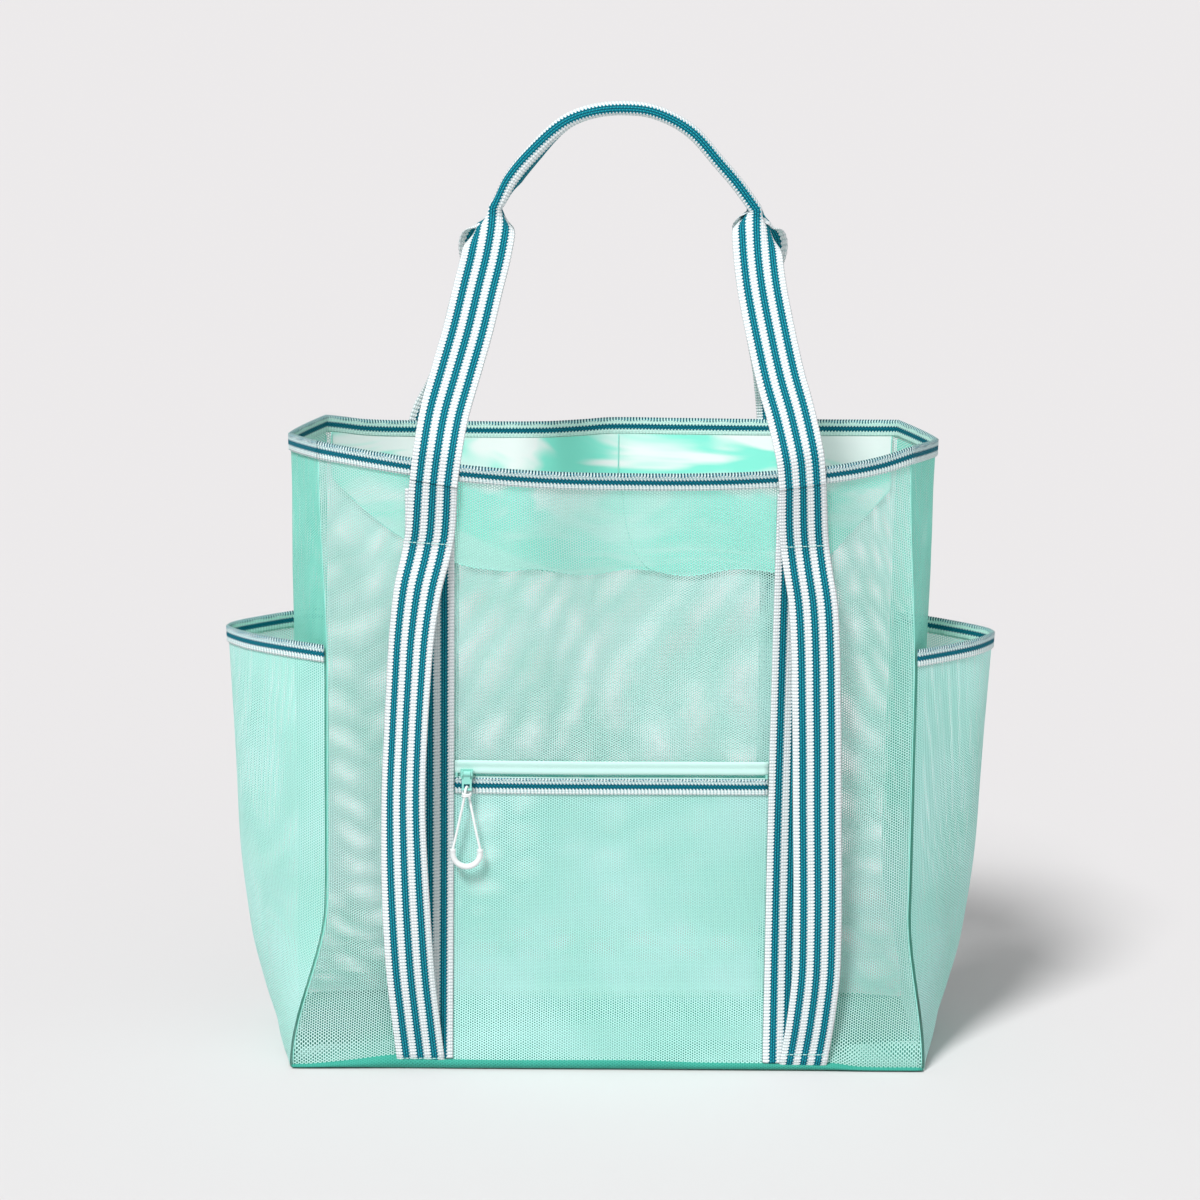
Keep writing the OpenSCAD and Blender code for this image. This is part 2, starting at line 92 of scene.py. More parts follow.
def clamp(k, low=0.0, high=1.0):
    return max(low, min(high, k))


def smooth(k):
    c = clamp(k)
    return c * c * (3 - 2 * c)


def spread(count, low=0.0, high=1.0):
    """count steps from low to high, both ends included."""
    return [mix(low, high, i / count) for i in range(count + 1)]


def curve_through(points, x):
    """Smooth curve through (x, y) points, flat past both ends."""
    if x <= points[0][0]:
        return points[0][1]
    if x >= points[-1][0]:
        return points[-1][1]
    i = next(n for n in range(len(points) - 1) if x <= points[n + 1][0])
    before, after = max(i - 1, 0), min(i + 2, len(points) - 1)
    (x0, y0), (x1, y1) = points[i], points[i + 1]
    span = x1 - x0
    slope_0 = (y1 - points[before][1]) / (x1 - points[before][0])
    slope_1 = (points[after][1] - y0) / (points[after][0] - x0)
    k = (x - x0) / span
    return ((2 * k**3 - 3 * k**2 + 1) * y0 + (k**3 - 2 * k**2 + k) * span * slope_0
            + (3 * k**2 - 2 * k**3) * y1 + (k**3 - k**2) * span * slope_1)


# ---- The walls' shape ----

def corner_x(t):
    return mix(BASE_W, PANEL_W, smooth(t / 0.27)) / 2


def corner_y(t):
    return mix(BASE_D, RIM_D, t) / 2


def fold_x(t):
    return mix(BASE_W, FOLD_W, t) / 2


# How far the rim hangs below its corners, by the share of the way to the right corner
FRONT_RIM_SAG = [(-1, 0), (-0.85, 1.6), (-0.7, 4), (-0.5, 7.4), (-0.2, 10.6), (0.1, 11.2), (0.4, 10.6),
                 (0.7, 8.4), (0.88, 5), (1, 0)]
BACK_RIM_SAG = [(-1, 0), (-0.95, 2.5), (-0.87, 6.6), (-0.75, 9.6), (-0.5, 12.7), (-0.25, 13.4), (-0.1, 11.5),
                (0, 9.6), (0.25, 9.6), (0.5, 8.8), (0.75, 5.8), (0.9, 2.7), (1, 0)]


def wall_z(t, sag):
    return BASE_T + t * (WALL_H - sag)


def height_share(x, z, sags):
    """The share of the wall's height at a place on it. sags is its rim's table."""
    rough = clamp((z - BASE_T) / WALL_H)
    return clamp((z - BASE_T) / (WALL_H - curve_through(sags, x / corner_x(rough))), 0, 1.03)


def slack(x, z):
    """Gentle unevenness of the cloth, none at its edges."""
    t = clamp(z / RIM_H)
    edges = smooth((1 - abs(x) / 232) / 0.2) * smooth(t / 0.12) * smooth((1 - t) / 0.1)
    waves = (math.sin(x / 61 + z / 97) + 0.7 * math.sin(x / 37 - z / 71 + 1.3)
             + 0.5 * math.sin(x / 23 + z / 140 + 0.4))
    return 0.55 * edges * waves


def wall_y(x, z, sags, bow):
    """How far a panel stands from the middle at a place on it, without its slack."""
    t = height_share(x, z, sags)
    return corner_y(t) + bow * t ** 2.5 * (1 - min(abs(x) / corner_x(t), 1) ** 3)


def front_y(x, z, out=0):
    """Depth of the front panel's face at a place on it, moved outwards."""
    return -wall_y(x, z, FRONT_RIM_SAG, FRONT_BOW) - slack(x, z) - out


def back_y(x, z, out=0):
    return wall_y(x, z, BACK_RIM_SAG, BACK_BOW) + slack(-x, z + 60) + out


FRONT_SEAM_LIFT = [(-250, 0), (-235, 0.4), (-200, 4.5), (-172, 8.6), (-148, 9.6), (-122, 7.6),
                   (-80, 7), (20, 7.6), (75, 5.8), (150, 5), (178, 3.6), (200, 0.4), (250, 0)]


def front_lift(s):
    """How far the front's bottom seam stands off the base, most beside the straps."""
    return curve_through(FRONT_SEAM_LIFT, s * BASE_W / 2)


def back_lift(s):
    return 6 * (1 - abs(s) ** 4)


def front_shift(t):
    """How far the front's edges stand to the right of the middle at a height."""
    return FRONT_LEAN * smooth(t / 0.3) * (1 - smooth((t - 0.62) / 0.36))


def front_at(s, t):
    x, level = s * corner_x(t) + front_shift(t), wall_z(t, curve_through(FRONT_RIM_SAG, s))
    return Vector((x, front_y(x, level), level + front_lift(s) * smooth(1 - t / 0.06)))


def back_at(s, t):
    x, level = -s * corner_x(t), wall_z(t, curve_through(BACK_RIM_SAG, -s))
    return Vector((x, back_y(x, level), level + back_lift(s) * smooth(1 - t / 0.06)))


def side_at(q, t, side=1):
    """The side wall, q from -1 at the front to 1 at the back."""
    share = 1 - abs(q) ** mix(2, 1.2, t)
    hollow = 2.5 * math.sin(q * 5 + t * 4) * (1 - q * q) * smooth(t / 0.1) * smooth((1 - t) / 0.1)
    lean = front_shift(t) * clamp(-q) ** 1.5
    return Vector((side * (mix(corner_x(t), fold_x(t), share) - abs(hollow) * 0.5) + lean,
                   q * corner_y(t), wall_z(t, 4 * (1 - abs(q)))))


FRONT_STEPS, SIDE_STEPS = 88, 40


def outline(t):
    """The walls' closed outline, anticlockwise from the left front corner."""
    front = [front_at(s, t) for s in spread(FRONT_STEPS, -1, 1)]
    right = [side_at(q, t) for q in spread(SIDE_STEPS, -1, 1)][1:]
    back = [back_at(s, t) for s in spread(FRONT_STEPS, -1, 1)][1:]
    left = [side_at(-q, t, -1) for q in spread(SIDE_STEPS, -1, 1)][1:-1]
    return front + right + back + left


def ring(t, out=0.0, up=0.0):
    """The outline moved outwards in plan, and up."""
    points = outline(t)
    moved = []
    for i, p in enumerate(points):
        along = points[(i + 1) % len(points)] - points[i - 1]
        along.z = 0
        along.normalize()
        moved.append(p + out * Vector((along.y, -along.x, 0)) + Vector((0, 0, up)))
    return moved


POCKET_SHARES = [(2, 0.34), (15, 0.42), (45, 0.56), (90, 0.74), (150, 0.87),
                 (220, 0.93), (340, 1), (400, 1)]


def pocket_at(q, z, out=0.0, side=1):
    """A side pocket's wall, q from -1 at the front seam to 1 at the back seam."""
    t = clamp((z - BASE_T) / WALL_H)
    stand = POCKET_BULGE * curve_through(POCKET_SHARES, z)
    x0 = corner_x(t) + 2.6
    low = smooth((150 - z) / 120)
    crease = low * (2.6 * math.exp(-((q + 0.35) / 0.07) ** 2) + 2 * math.exp(-((q - 0.3) / 0.1) ** 2))
    ripple = 0.9 * math.sin(q * 9 + z / 55) * (1 - q * q)
    share = 1 - abs(q) ** 1.5
    x = x0 + (stand - (corner_x(t) - PANEL_W / 2) * 0.7 + out) * share - crease + ripple
    x = side * x + front_shift(t) * clamp(-q) ** 1.5
    return Vector((x, q * (corner_y(t) + out * 0.8 - 0.5), z))


# ---- Mesh helpers ----

def add_object(name, data, body=None, replaces=(), material=None):
    data.name = name
    obj = bpy.data.objects.new(name, data)
    bpy.context.scene.collection.objects.link(obj)
    if material:
        data.materials.append(material)
    if body:
        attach(obj, body)
    if replaces:
        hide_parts(*replaces)
    return obj


def mesh(points, faces, uvs=None):
    """A smooth-shaded mesh from millimetre points, with one UV pair for each point."""
    data = bpy.data.meshes.new("piece")
    data.from_pydata([Vector(p) * MM for p in points], [], faces)
    data.polygons.foreach_set("use_smooth", [True] * len(data.polygons))
    if uvs:
        layer = data.uv_layers.new(name="cloth")
        for loop in data.loops:
            layer.data[loop.index].uv = uvs[loop.vertex_index]
    data.update()
    return data


def arc_lengths(row):
    total = [0.0]
    for a, b in zip(row, row[1:]):
        total.append(total[-1] + (Vector(b) - Vector(a)).length)
    return total


def cloth_uvs(rows):
    """Lengths along and up the cloth, measured from the middle of its lowest row."""
    middle = len(rows[0]) // 2
    up = arc_lengths([r[middle] for r in rows])
    uvs = []
    for r, v in zip(rows, up):
        along = arc_lengths(r)
        uvs += [(u - along[middle], v) for u in along]
    return uvs


def grid_faces(rows, cols):
    return [(r * cols + c, r * cols + c + 1, (r + 1) * cols + c + 1, (r + 1) * cols + c)
            for r in range(rows - 1) for c in range(cols - 1)]


def grid(rows):
    """One layer of cloth through rows of points."""
    points = [p for r in rows for p in r]
    return mesh(points, grid_faces(len(rows), len(rows[0])), cloth_uvs(rows))


EDGE_THINNING = 0.35


def thick_grid(rows, thickness, uvs):
    """A band with two faces and rounded side edges. rows run along it, and each
    row crosses it. The stripes' UVs are the same on both faces."""
    n_rows, n_cols = len(rows), len(rows[0])
    centre = n_cols // 2
    top, bottom = [], []
    for i, row in enumerate(rows):
        along = Vector(rows[min(i + 1, n_rows - 1)][centre]) - Vector(rows[max(i - 1, 0)][centre])
        for j, p in enumerate(row):
            across = Vector(row[min(j + 1, n_cols - 1)]) - Vector(row[max(j - 1, 0)])
            normal = across.cross(along).normalized()
            half = thickness / 2 * (EDGE_THINNING if j in (0, n_cols - 1) else 1)
            top.append(Vector(p) + normal * half)
            bottom.append(Vector(p) - normal * half)
    faces = grid_faces(n_rows, n_cols)
    size = n_rows * n_cols
    faces += [tuple(reversed([i + size for i in f])) for f in faces]
    border = []
    for c in range(size - n_cols, size - 1):
        border += [(c + 1 - size + n_cols, c - size + n_cols), (c, c + 1)]
    for r in range(0, size - n_cols, n_cols):
        border += [(r, r + n_cols), (r + 2 * n_cols - 1, r + n_cols - 1)]
    faces += [(a, b, b + size, a + size) for a, b in border]
    return mesh(top + bottom, faces, uvs + uvs)


def tube_parts(route, radius, sides=8, closed=False):
    """Points, faces and UVs of a round tube along a route."""
    points, faces, uvs = [], [], []
    route = [Vector(p) for p in route]
    n = len(route)
    lengths = arc_lengths(route)
    for i, p in enumerate(route):
        after = route[(i + 1) % n if closed else min(i + 1, n - 1)]
        before = route[i - 1 if closed else max(i - 1, 0)]
        d = (after - before).normalized()
        a = d.cross(Vector((0.1, 1, 0.05))).normalized()
        b = d.cross(a)
        for j in range(sides):
            angle = 2 * math.pi * j / sides
            points.append(p + radius * (a * math.cos(angle) + b * math.sin(angle)))
            uvs.append((radius * angle, lengths[i]))
    for i in range(n if closed else n - 1):
        for j in range(sides):
            k, m = (j + 1) % sides, (i + 1) % n
            faces.append((i * sides + j, i * sides + k, m * sides + k, m * sides + j))
    if not closed:
        faces.append(tuple(reversed(range(sides))))
        faces.append(tuple((n - 1) * sides + j for j in range(sides)))
    return points, faces, uvs


def join_parts(parts):
    """One mesh from several lists of points, faces and UVs."""
    points, faces, uvs = [], [], []
    for p, f, uv in parts:
        faces += [tuple(i + len(points) for i in face) for face in f]
        points += p
        uvs += uv
    return mesh(points, faces, uvs)


def along_line(line, wanted):
    """The points at the wanted lengths along a line of points."""
    lengths, found, i = arc_lengths(line), [], 0
    for length in wanted:
        while lengths[i + 1] < length and i < len(line) - 2:
            i += 1
        found.append(line[i].lerp(line[i + 1], (length - lengths[i]) / (lengths[i + 1] - lengths[i])))
    return found


def stitches(line, normal, length, gap, radius):
    """Short rounded threads that follow a line of points, lifted along normal."""
    line = [Vector(p) for p in line]
    total = arc_lengths(line)[-1]
    count = max(1, int(total / (length + gap)))
    step = total / count
    shares = spread(4)
    places = [n * step + gap / 2 + k * (step - gap) for n in range(count) for k in shares]
    lifts = [radius * (math.sin(math.pi * k) * 1.3 - 0.4) for k in shares] * count
    points = [p + Vector(normal) * lift for p, lift in zip(along_line(line, places), lifts)]
    return [tube_parts(points[i:i + len(shares)], radius, 5) for i in range(0, len(points), len(shares))]


# ---- Materials ----

def new_material(name):
    material = bpy.data.materials.new(name)
    material.use_nodes = True
    tree = material.node_tree
    return material, tree, tree.nodes["Principled BSDF"]


def node(tree, kind, *inputs, **settings):
    """A new node. Inputs are values or the sockets that they come from, in order."""
    made = tree.nodes.new("ShaderNode" + kind)
    for key, value in settings.items():
        setattr(made, key, value)
    sockets = [s for s in made.inputs if s.enabled]
    for socket, value in zip(sockets, inputs):
        if value is None:
            continue
        if isinstance(value, bpy.types.NodeSocket):
            tree.links.new(value, socket)
        else:
            socket.default_value = value
    return next((s for s in made.outputs if s.enabled), None)


def set_inputs(made, values):
    for name, value in values.items():
        made.inputs[name].default_value = value


def maths(tree, operation, *inputs):
    return node(tree, "Math", *inputs, operation=operation)


def times(tree, first, second):
    return maths(tree, "MULTIPLY", first, second)


def vector_maths(tree, operation, *inputs):
    return node(tree, "VectorMath", *inputs, operation=operation)


def remap(tree, value, low, high, to_low=0.0, to_high=1.0, kind="SMOOTHSTEP"):
    return node(tree, "MapRange", value, low, high, to_low, to_high, interpolation_type=kind)


def blend_colours(tree, share, *colours):
    sockets = [c if isinstance(c, bpy.types.NodeSocket) else (*c, 1) for c in colours]
    return node(tree, "Mix", share, *sockets, data_type="RGBA")


def cloth_place(tree):
    """The cloth's own coordinates in millimetres, along and up."""
    return node(tree, "UVMap", uv_map="cloth")


def split(tree, vector):
    return node(tree, "SeparateXYZ", vector).node.outputs[:2]


def noise(tree, place, scale, detail=2, roughness=0.5, distortion=0, output=0):
    """Noise from 0 to 1, or coloured noise from output 1."""
    made = tree.nodes.new("ShaderNodeTexNoise")
    tree.links.new(place, made.inputs["Vector"])
    set_inputs(made, {"Scale": scale, "Detail": detail, "Roughness": roughness, "Distortion": distortion})
    return made.outputs[output]


def wave(tree, value, period, phase=0.0):
    """A sine of a length, from 0 to 1, with a period in millimetres."""
    angle = maths(tree, "MULTIPLY_ADD", value, 2 * math.pi / period, phase)
    return maths(tree, "MULTIPLY_ADD", maths(tree, "SINE", angle), 0.5, 0.5)


def bump(tree, shader, height, distance):
    made = tree.nodes.new("ShaderNodeBump")
    set_inputs(made, {"Strength": 1, "Distance": distance * MM})
    tree.links.new(height, made.inputs["Height"])
    tree.links.new(made.outputs[0], shader.inputs["Normal"])


def cloth_surface(shader, colour, roughness, height, depth, sheen=0.1, specular=0.3):
    """Cloth's colour, roughness and height, which are sockets, and its depth in
    millimetres."""
    tree = shader.id_data
    tree.links.new(colour, shader.inputs["Base Color"])
    tree.links.new(roughness, shader.inputs["Roughness"])
    set_inputs(shader, {"Sheen Weight": sheen, "Sheen Roughness": 0.4, "Specular IOR Level": specular})
    bump(tree, shader, height, depth)


NET_PITCH = 2.1


def hole_distance(tree, place):
    """Distance to the middle of the nearest hole of a knitted net."""
    period = Vector((NET_PITCH * math.sqrt(3), NET_PITCH, 0))
    per_mm = (1 / period.x, 1 / period.y, 0)
    lengths = []
    for shift in (0, 0.5):
        cells = vector_maths(tree, "MULTIPLY_ADD", place, per_mm, (shift, shift, 0))
        inside = vector_maths(tree, "FRACTION", cells)
        centred = vector_maths(tree, "SUBTRACT", inside, (0.5, 0.5, 0))
        lengths.append(vector_maths(tree, "LENGTH", vector_maths(tree, "MULTIPLY", centred, tuple(period))))
    return maths(tree, "MINIMUM", *lengths)


# NET_HOLE_SHADE is painted shade: the yarn's colour darkens to it towards each hole.
NET_MINT = (0.67, 0.97, 0.91)
NET_HOLE_SHADE = (0.25, 0.71, 0.60)


def net_place(tree, turn):
    """The cloth's coordinates turned by degrees, and stretched a little unevenly."""
    place = cloth_place(tree)
    stretch = noise(tree, place, 0.045, output=1)
    pull = vector_maths(tree, "MULTIPLY_ADD", stretch, (0.9, 0.9, 0), (-0.45, -0.45, 0))
    rotated = node(tree, "VectorRotate", place, None, None, math.radians(turn), rotation_type="Z_AXIS")
    return vector_maths(tree, "ADD", rotated, pull)


def net_material(name, colour=NET_MINT, shade=NET_HOLE_SHADE, hole=0.33, turn=15):
    """Fine knitted net with open holes. hole is their radius as a share of the pitch."""
    material, tree, shader = new_material(name)
    place = cloth_place(tree)
    distance = hole_distance(tree, net_place(tree, turn))
    radius = hole * NET_PITCH
    alpha = remap(tree, distance, radius - 0.08, radius + 0.08)
    yarn = remap(tree, distance, radius, NET_PITCH * 0.55)
    tone = remap(tree, noise(tree, place, 0.011, 3.0), 0.35, 0.65)
    # Painted shade: the yarn darkens towards the holes.
    light = blend_colours(tree, yarn, shade, colour)
    pale = [min(1, c * 1.12) for c in colour]
    worn = blend_colours(tree, times(tree, tone, 0.35), light, pale)
    tree.links.new(alpha, shader.inputs["Alpha"])
    cloth_surface(shader, worn, remap(tree, yarn, 0, 1, 0.72, 0.55), yarn, 0.25, sheen=0.15)
    return material


def dense_material(name, colour, shade):
    """Doubled net: the holes of two layers cover each other and show as dimples."""
    material, tree, shader = new_material(name)
    place = cloth_place(tree)
    distance = hole_distance(tree, place)
    yarn = remap(tree, distance, 0.2, NET_PITCH * 0.5)
    tone = remap(tree, noise(tree, place, 0.02, 3.0), 0.3, 0.7)
    # Painted shade: the yarn darkens into each dimple.
    light = blend_colours(tree, yarn, shade, colour)
    pale = [min(1, c * 1.15) for c in colour]
    worn = blend_colours(tree, times(tree, tone, 0.3), light, pale)
    cloth_surface(shader, worn, remap(tree, yarn, 0, 1, 0.8, 0.6), yarn, 0.3)
    return material


# Yarn colours. WHITE_RIB_SHADE and TEAL_RIB_SHADE are painted shade in the valleys between ribs.
WHITE_YARN = (0.88, 0.92, 0.93)
WHITE_RIB_SHADE = (0.61, 0.70, 0.72)
TEAL_YARN = (0.0, 0.22, 0.31)
TEAL_RIB_SHADE = (0.0, 0.035, 0.065)
TEAL_LIGHT = (0.04, 0.60, 0.66)
INNER_LIGHT_TINT = (0.66, 0.97, 0.87)
EDGE_STITCH = 2.4


def ribbed_weave(tree, along, across, rib, column, shift):
    """Ribbed weave of yarns that lie in columns, with every other column moved along
    by a share of a rib. Gives its height, and the place inside a yarn across and along."""
    column_place = maths(tree, "DIVIDE", across, column)
    odd = maths(tree, "MODULO", maths(tree, "FLOOR", column_place), 2)
    rib_place = maths(tree, "ADD", maths(tree, "DIVIDE", along, rib), times(tree, odd, shift))
    places = [maths(tree, "FRACT", value) for value in (column_place, rib_place)]
    inside = [maths(tree, "SUBTRACT", value, 0.5) for value in places]
    domes = [maths(tree, "COSINE", times(tree, value, math.pi)) for value in inside]
    flat_across = maths(tree, "POWER", domes[0], 0.3)
    height = times(tree, flat_across, domes[1])
    return height, inside


def stripe_share(tree, across, edges, softness=0.18):
    """1 on the stripes whose edges are given in pairs, in millimetres, and 0 between."""
    total = None
    for low, high in edges:
        rise = remap(tree, across, low - softness, low + softness)
        fall = remap(tree, across, high - softness, high + softness, 1, 0)
        one = times(tree, rise, fall)
        total = one if total is None else maths(tree, "MAXIMUM", total, one)
    return total


def striped_material(name, stripes, rib, column, fleck, yarns=(WHITE_YARN, WHITE_RIB_SHADE), grey=None):
    """Woven white band with teal stripes, given as pairs of edges across it.

    fleck is the share of light yarn between the teal yarns. yarns are the light colour
    and its painted shade in the rib valleys. A band with a grey zone is a ribbon,
    measured from its teal-whipped fold, with its outer side positive and its inner side
    painted a brighter mint for the light that reaches it through the green net.
    """
    material, tree, shader = new_material(name)
    side, along = split(tree, cloth_place(tree))
    across = maths(tree, "ABSOLUTE", side) if grey else side
    jag = maths(tree, "MULTIPLY_ADD", wave(tree, along, rib), 1.1, -0.55)
    share = stripe_share(tree, maths(tree, "ADD", across, jag), stripes)
    if grey:
        whipped = remap(tree, wave(tree, along, EDGE_STITCH), 0.3, 0.7, 0.1, 1)
        plain = remap(tree, across, 1.9, 2.6)
        share = times(tree, share, maths(tree, "MAXIMUM", whipped, plain))
    shift = times(tree, share, 0.5)
    height, (inside_across, inside_along) = ribbed_weave(tree, along, across, rib, column, shift)
    # Painted shade: the white and the teal darken in the valleys between ribs.
    shade = remap(tree, height, 0.15, 0.75)
    teal = blend_colours(tree, remap(tree, height, 0.3, 0.9), TEAL_RIB_SHADE, TEAL_YARN)
    ends = remap(tree, maths(tree, "ABSOLUTE", inside_along), 0.3, 0.42)
    middles = remap(tree, maths(tree, "ABSOLUTE", inside_across), 0.2, 0.36, 1, 0)
    flecks = times(tree, times(tree, ends, middles), fleck)
    teal = blend_colours(tree, flecks, teal, TEAL_LIGHT)
    white = blend_colours(tree, shade, yarns[1], yarns[0])
    if grey:
        slanted = wave(tree, maths(tree, "ADD", along, times(tree, across, 0.9)), rib)
        twill = remap(tree, slanted, 0.2, 0.8, 0.1, 0.8)
        band = times(tree, stripe_share(tree, across, grey), twill)
        white = blend_colours(tree, band, white, yarns[1])
        # Painted light: the inner side is a brighter mint for the green light that reaches it through the
        # net.
        inner = remap(tree, side, -0.4, 0.4, 1, 0)
        white = blend_colours(tree, times(tree, inner, 0.8), white, INNER_LIGHT_TINT)
    colour = blend_colours(tree, share, white, teal)
    cloth_surface(shader, colour, remap(tree, shade, 0, 1, 0.8, 0.6), height, 0.5, 0, 0.12)
    return material


def lining_material():
    """Smooth woven lining, softly mottled in mint and white, with the white raised near its top as painted
    highlight.
    """
    material, tree, shader = new_material("lining")
    place = cloth_place(tree)
    stretched = vector_maths(tree, "MULTIPLY", place, (0.55, 1.4, 1))
    cloud = noise(tree, stretched, 0.017, 2.5, 0.55, 0.9)
    along, up = split(tree, place)
    # Painted highlight: more white near the top, where the lining shows lit in the opening.
    share = times(tree, remap(tree, cloud, 0.42, 0.58), remap(tree, up, 45, 90, 0.4, 1))
    colour = blend_colours(tree, share, (0.27, 0.92, 0.75), (0.93, 0.99, 0.97))
    weave = times(tree, wave(tree, along, 0.7), wave(tree, up, 0.7))
    cloth_surface(shader, colour, remap(tree, weave, 0, 1, 0.6, 0.42), weave, 0.08, specular=0.45)
    return material


def plain_weave(name, colour, period=0.9, roughness=0.6, variation=0.2):
    material, tree, shader = new_material(name)
    place = cloth_place(tree)
    along, up = split(tree, place)
    weave = times(tree, wave(tree, along, period), wave(tree, up, period))
    tone = noise(tree, place, 0.08, 3.0)
    dark, pale = [c * 0.75 for c in colour], [min(1, c * 1.15) for c in colour]
    varied = blend_colours(tree, times(tree, tone, variation), colour, dark)
    # Painted light: the crowns of the weave are paler than its hollows.
    shaded = blend_colours(tree, times(tree, weave, 0.3), varied, pale)
    gloss = remap(tree, weave, 0, 1, roughness + 0.1, roughness - 0.1)
    cloth_surface(shader, shaded, gloss, weave, 0.12)
    return material


def moulded(name, colour, roughness, coat=0, grain=0.02):
    """Plastic or lacquered metal with a very fine uneven surface."""
    material, tree, shader = new_material(name)
    place = tree.nodes.new("ShaderNodeTexCoord").outputs["Object"]
    grains = noise(tree, place, 900, 3.0)
    tone = noise(tree, place, 120, 2.0)
    varied = blend_colours(tree, times(tree, tone, 0.2), colour, [c * 0.8 for c in colour])
    tree.links.new(varied, shader.inputs["Base Color"])
    set_inputs(shader, {"Coat Weight": coat})
    uneven = remap(tree, grains, 0.3, 0.7, roughness + 0.08, roughness - 0.05)
    tree.links.new(uneven, shader.inputs["Roughness"])
    bump(tree, shader, grains, grain)
    return material


def floor_material():
    material, _, shader = new_material("floor")
    set_inputs(shader, {"Base Color": (0.685, 0.67, 0.675, 1), "Roughness": 0.95, "Specular IOR Level": 0})
    return material


NET = net_material("net")
BACK_NET = net_material("back_net_cloth", turn=45)
POCKET_NET = net_material("pocket_net_cloth", (0.60, 0.97, 0.89), (0.26, 0.76, 0.66), hole=0.25, turn=-9)
# The side walls' net, with smaller holes, is painted darker and deeper than the front's as shade on the
# slanted sides.
SHADED_SIDE_NET = net_material("shaded_side_net_cloth", (0.28, 0.85, 0.71), (0.10, 0.55, 0.43), hole=0.22, turn=6)
# The base cloth is a deeper mint, painted a much darker green as the shade under the bag.
SHADED_BASE_CLOTH = dense_material("base_cloth", (0.045, 0.39, 0.30), (0.02, 0.28, 0.21))
SEAM_CLOTH = dense_material("seam_cloth", (0.38, 0.88, 0.77), (0.29, 0.79, 0.67))
LINING = lining_material()
ZIP_CLOTH = plain_weave("zip_cloth", (0.60, 0.90, 0.83), 0.8)
THREAD = plain_weave("thread", (0.58, 0.92, 0.86), 0.5)
WHITE_THREAD = plain_weave("white_thread", (0.80, 0.86, 0.86), 0.5)
CORD_CLOTH = plain_weave("cord_cloth", (0.88, 0.90, 0.90), 0.6, 0.5, 0.08)
# The coil is painted deep green as the shade in the gap between the zip's tapes.
SHADED_COIL_PLASTIC = moulded("shaded_coil_plastic", (0.05, 0.40, 0.33), 0.45)
LACQUER = moulded("lacquer", (0.30, 0.74, 0.64), 0.3, coat=0.4)
PULL_PLASTIC = moulded("pull_plastic", (0.86, 0.88, 0.88), 0.28, coat=0.3, grain=0.01)
WEBBING = striped_material("webbing", [(4.95, 10.7), (16.1, 21.9), (27.3, 33.05)], WEAVE_RIB,
                           WEAVE_COLUMN, fleck=0.8)
# The ribbon's white, and its painted shade in the rib valleys, which is also its grey zone's yarn.
RIBBON_YARNS = ((0.88, 0.98, 0.97), (0.40, 0.60, 0.62))
RIBBON = striped_material("ribbon", [(-1, 1.6), (4.2, 8.2)], 2.7, 1.3, 0.25, RIBBON_YARNS, grey=[(1.6, 4.2)])


# ---- Camera, light and floor ----

def make_camera():
    place = Vector((-67.8, -2892.2, 1057.3)) * MM
    pitch, yaw, roll = (math.radians(a) for a in (13.48, 1.16, 0.74))
    forward = Vector((math.sin(yaw) * math.cos(pitch), math.cos(yaw) * math.cos(pitch), -math.sin(pitch)))
    level = forward.cross(Vector((0, 0, 1))).normalized()
    upright = level.cross(forward)
    right = level * math.cos(roll) + upright * math.sin(roll)
    up = upright * math.cos(roll) - level * math.sin(roll)
    camera = bpy.data.cameras.new("camera")
    camera.sensor_width = 36
    camera.lens = 112.29
    obj = add_object("camera", camera)
    turn = Matrix((right, up, -forward)).transposed().to_4x4()
    obj.matrix_world = Matrix.Translation(place) @ turn
    bpy.context.scene.camera = obj


def add_sun(name, energy, angle, towards):
    sun = bpy.data.lights.new(name, "SUN")
    sun.energy = energy
    sun.angle = math.radians(angle)
    obj = add_object(name, sun)
    obj.rotation_euler = Vector(towards).to_track_quat("-Z", "Y").to_euler()


def make_light():
    """A pale studio all round, a broad key light and a weak fill from the right. Past
    the floor's end the studio looks as pale as the floor."""
    world = bpy.data.worlds.new("studio")
    bpy.context.scene.world = world
    world.use_nodes = True
    tree = world.node_tree
    tree.nodes.clear()
    camera_ray = tree.nodes.new("ShaderNodeLightPath").outputs["Is Camera Ray"]
    light, seen = (node(tree, "Background", (1, 1, 1, 1), strength) for strength in (0.39, 0.84))
    node(tree, "OutputWorld", node(tree, "MixShader", camera_ray, light, seen))
    add_sun("key", 3.08, 15, (0.30, 0.50, -0.80))
    add_sun("fill", 0.28, 80, (-0.60, 0.60, -0.53))
    bpy.context.scene.view_settings.view_transform = "Standard"


def make_floor():
    half = 200000
    corners = [(x * half, y * half, -0.2) for x, y in ((-1, -1), (1, -1), (1, 1), (-1, 1))]
    floor = add_object("floor", mesh(corners, [(0, 1, 2, 3)]), material=floor_material())


# ---- Zip pull: cord, knot and moulded end ----

CORD_R = 1
HALF_ROUTE = [(0, 2.25, 0), (0.6, 1.6, 1.5), (1, 0.2, 2.25), (1.3, -2, 2.1), (1.9, -6, 1.6),
              (3, -12, 1), (4.6, -20, 0.5), (6.4, -29, 0.2), (8.3, -38, 0), (9.8, -44.5, 0),
              (10.7, -49, 0)]


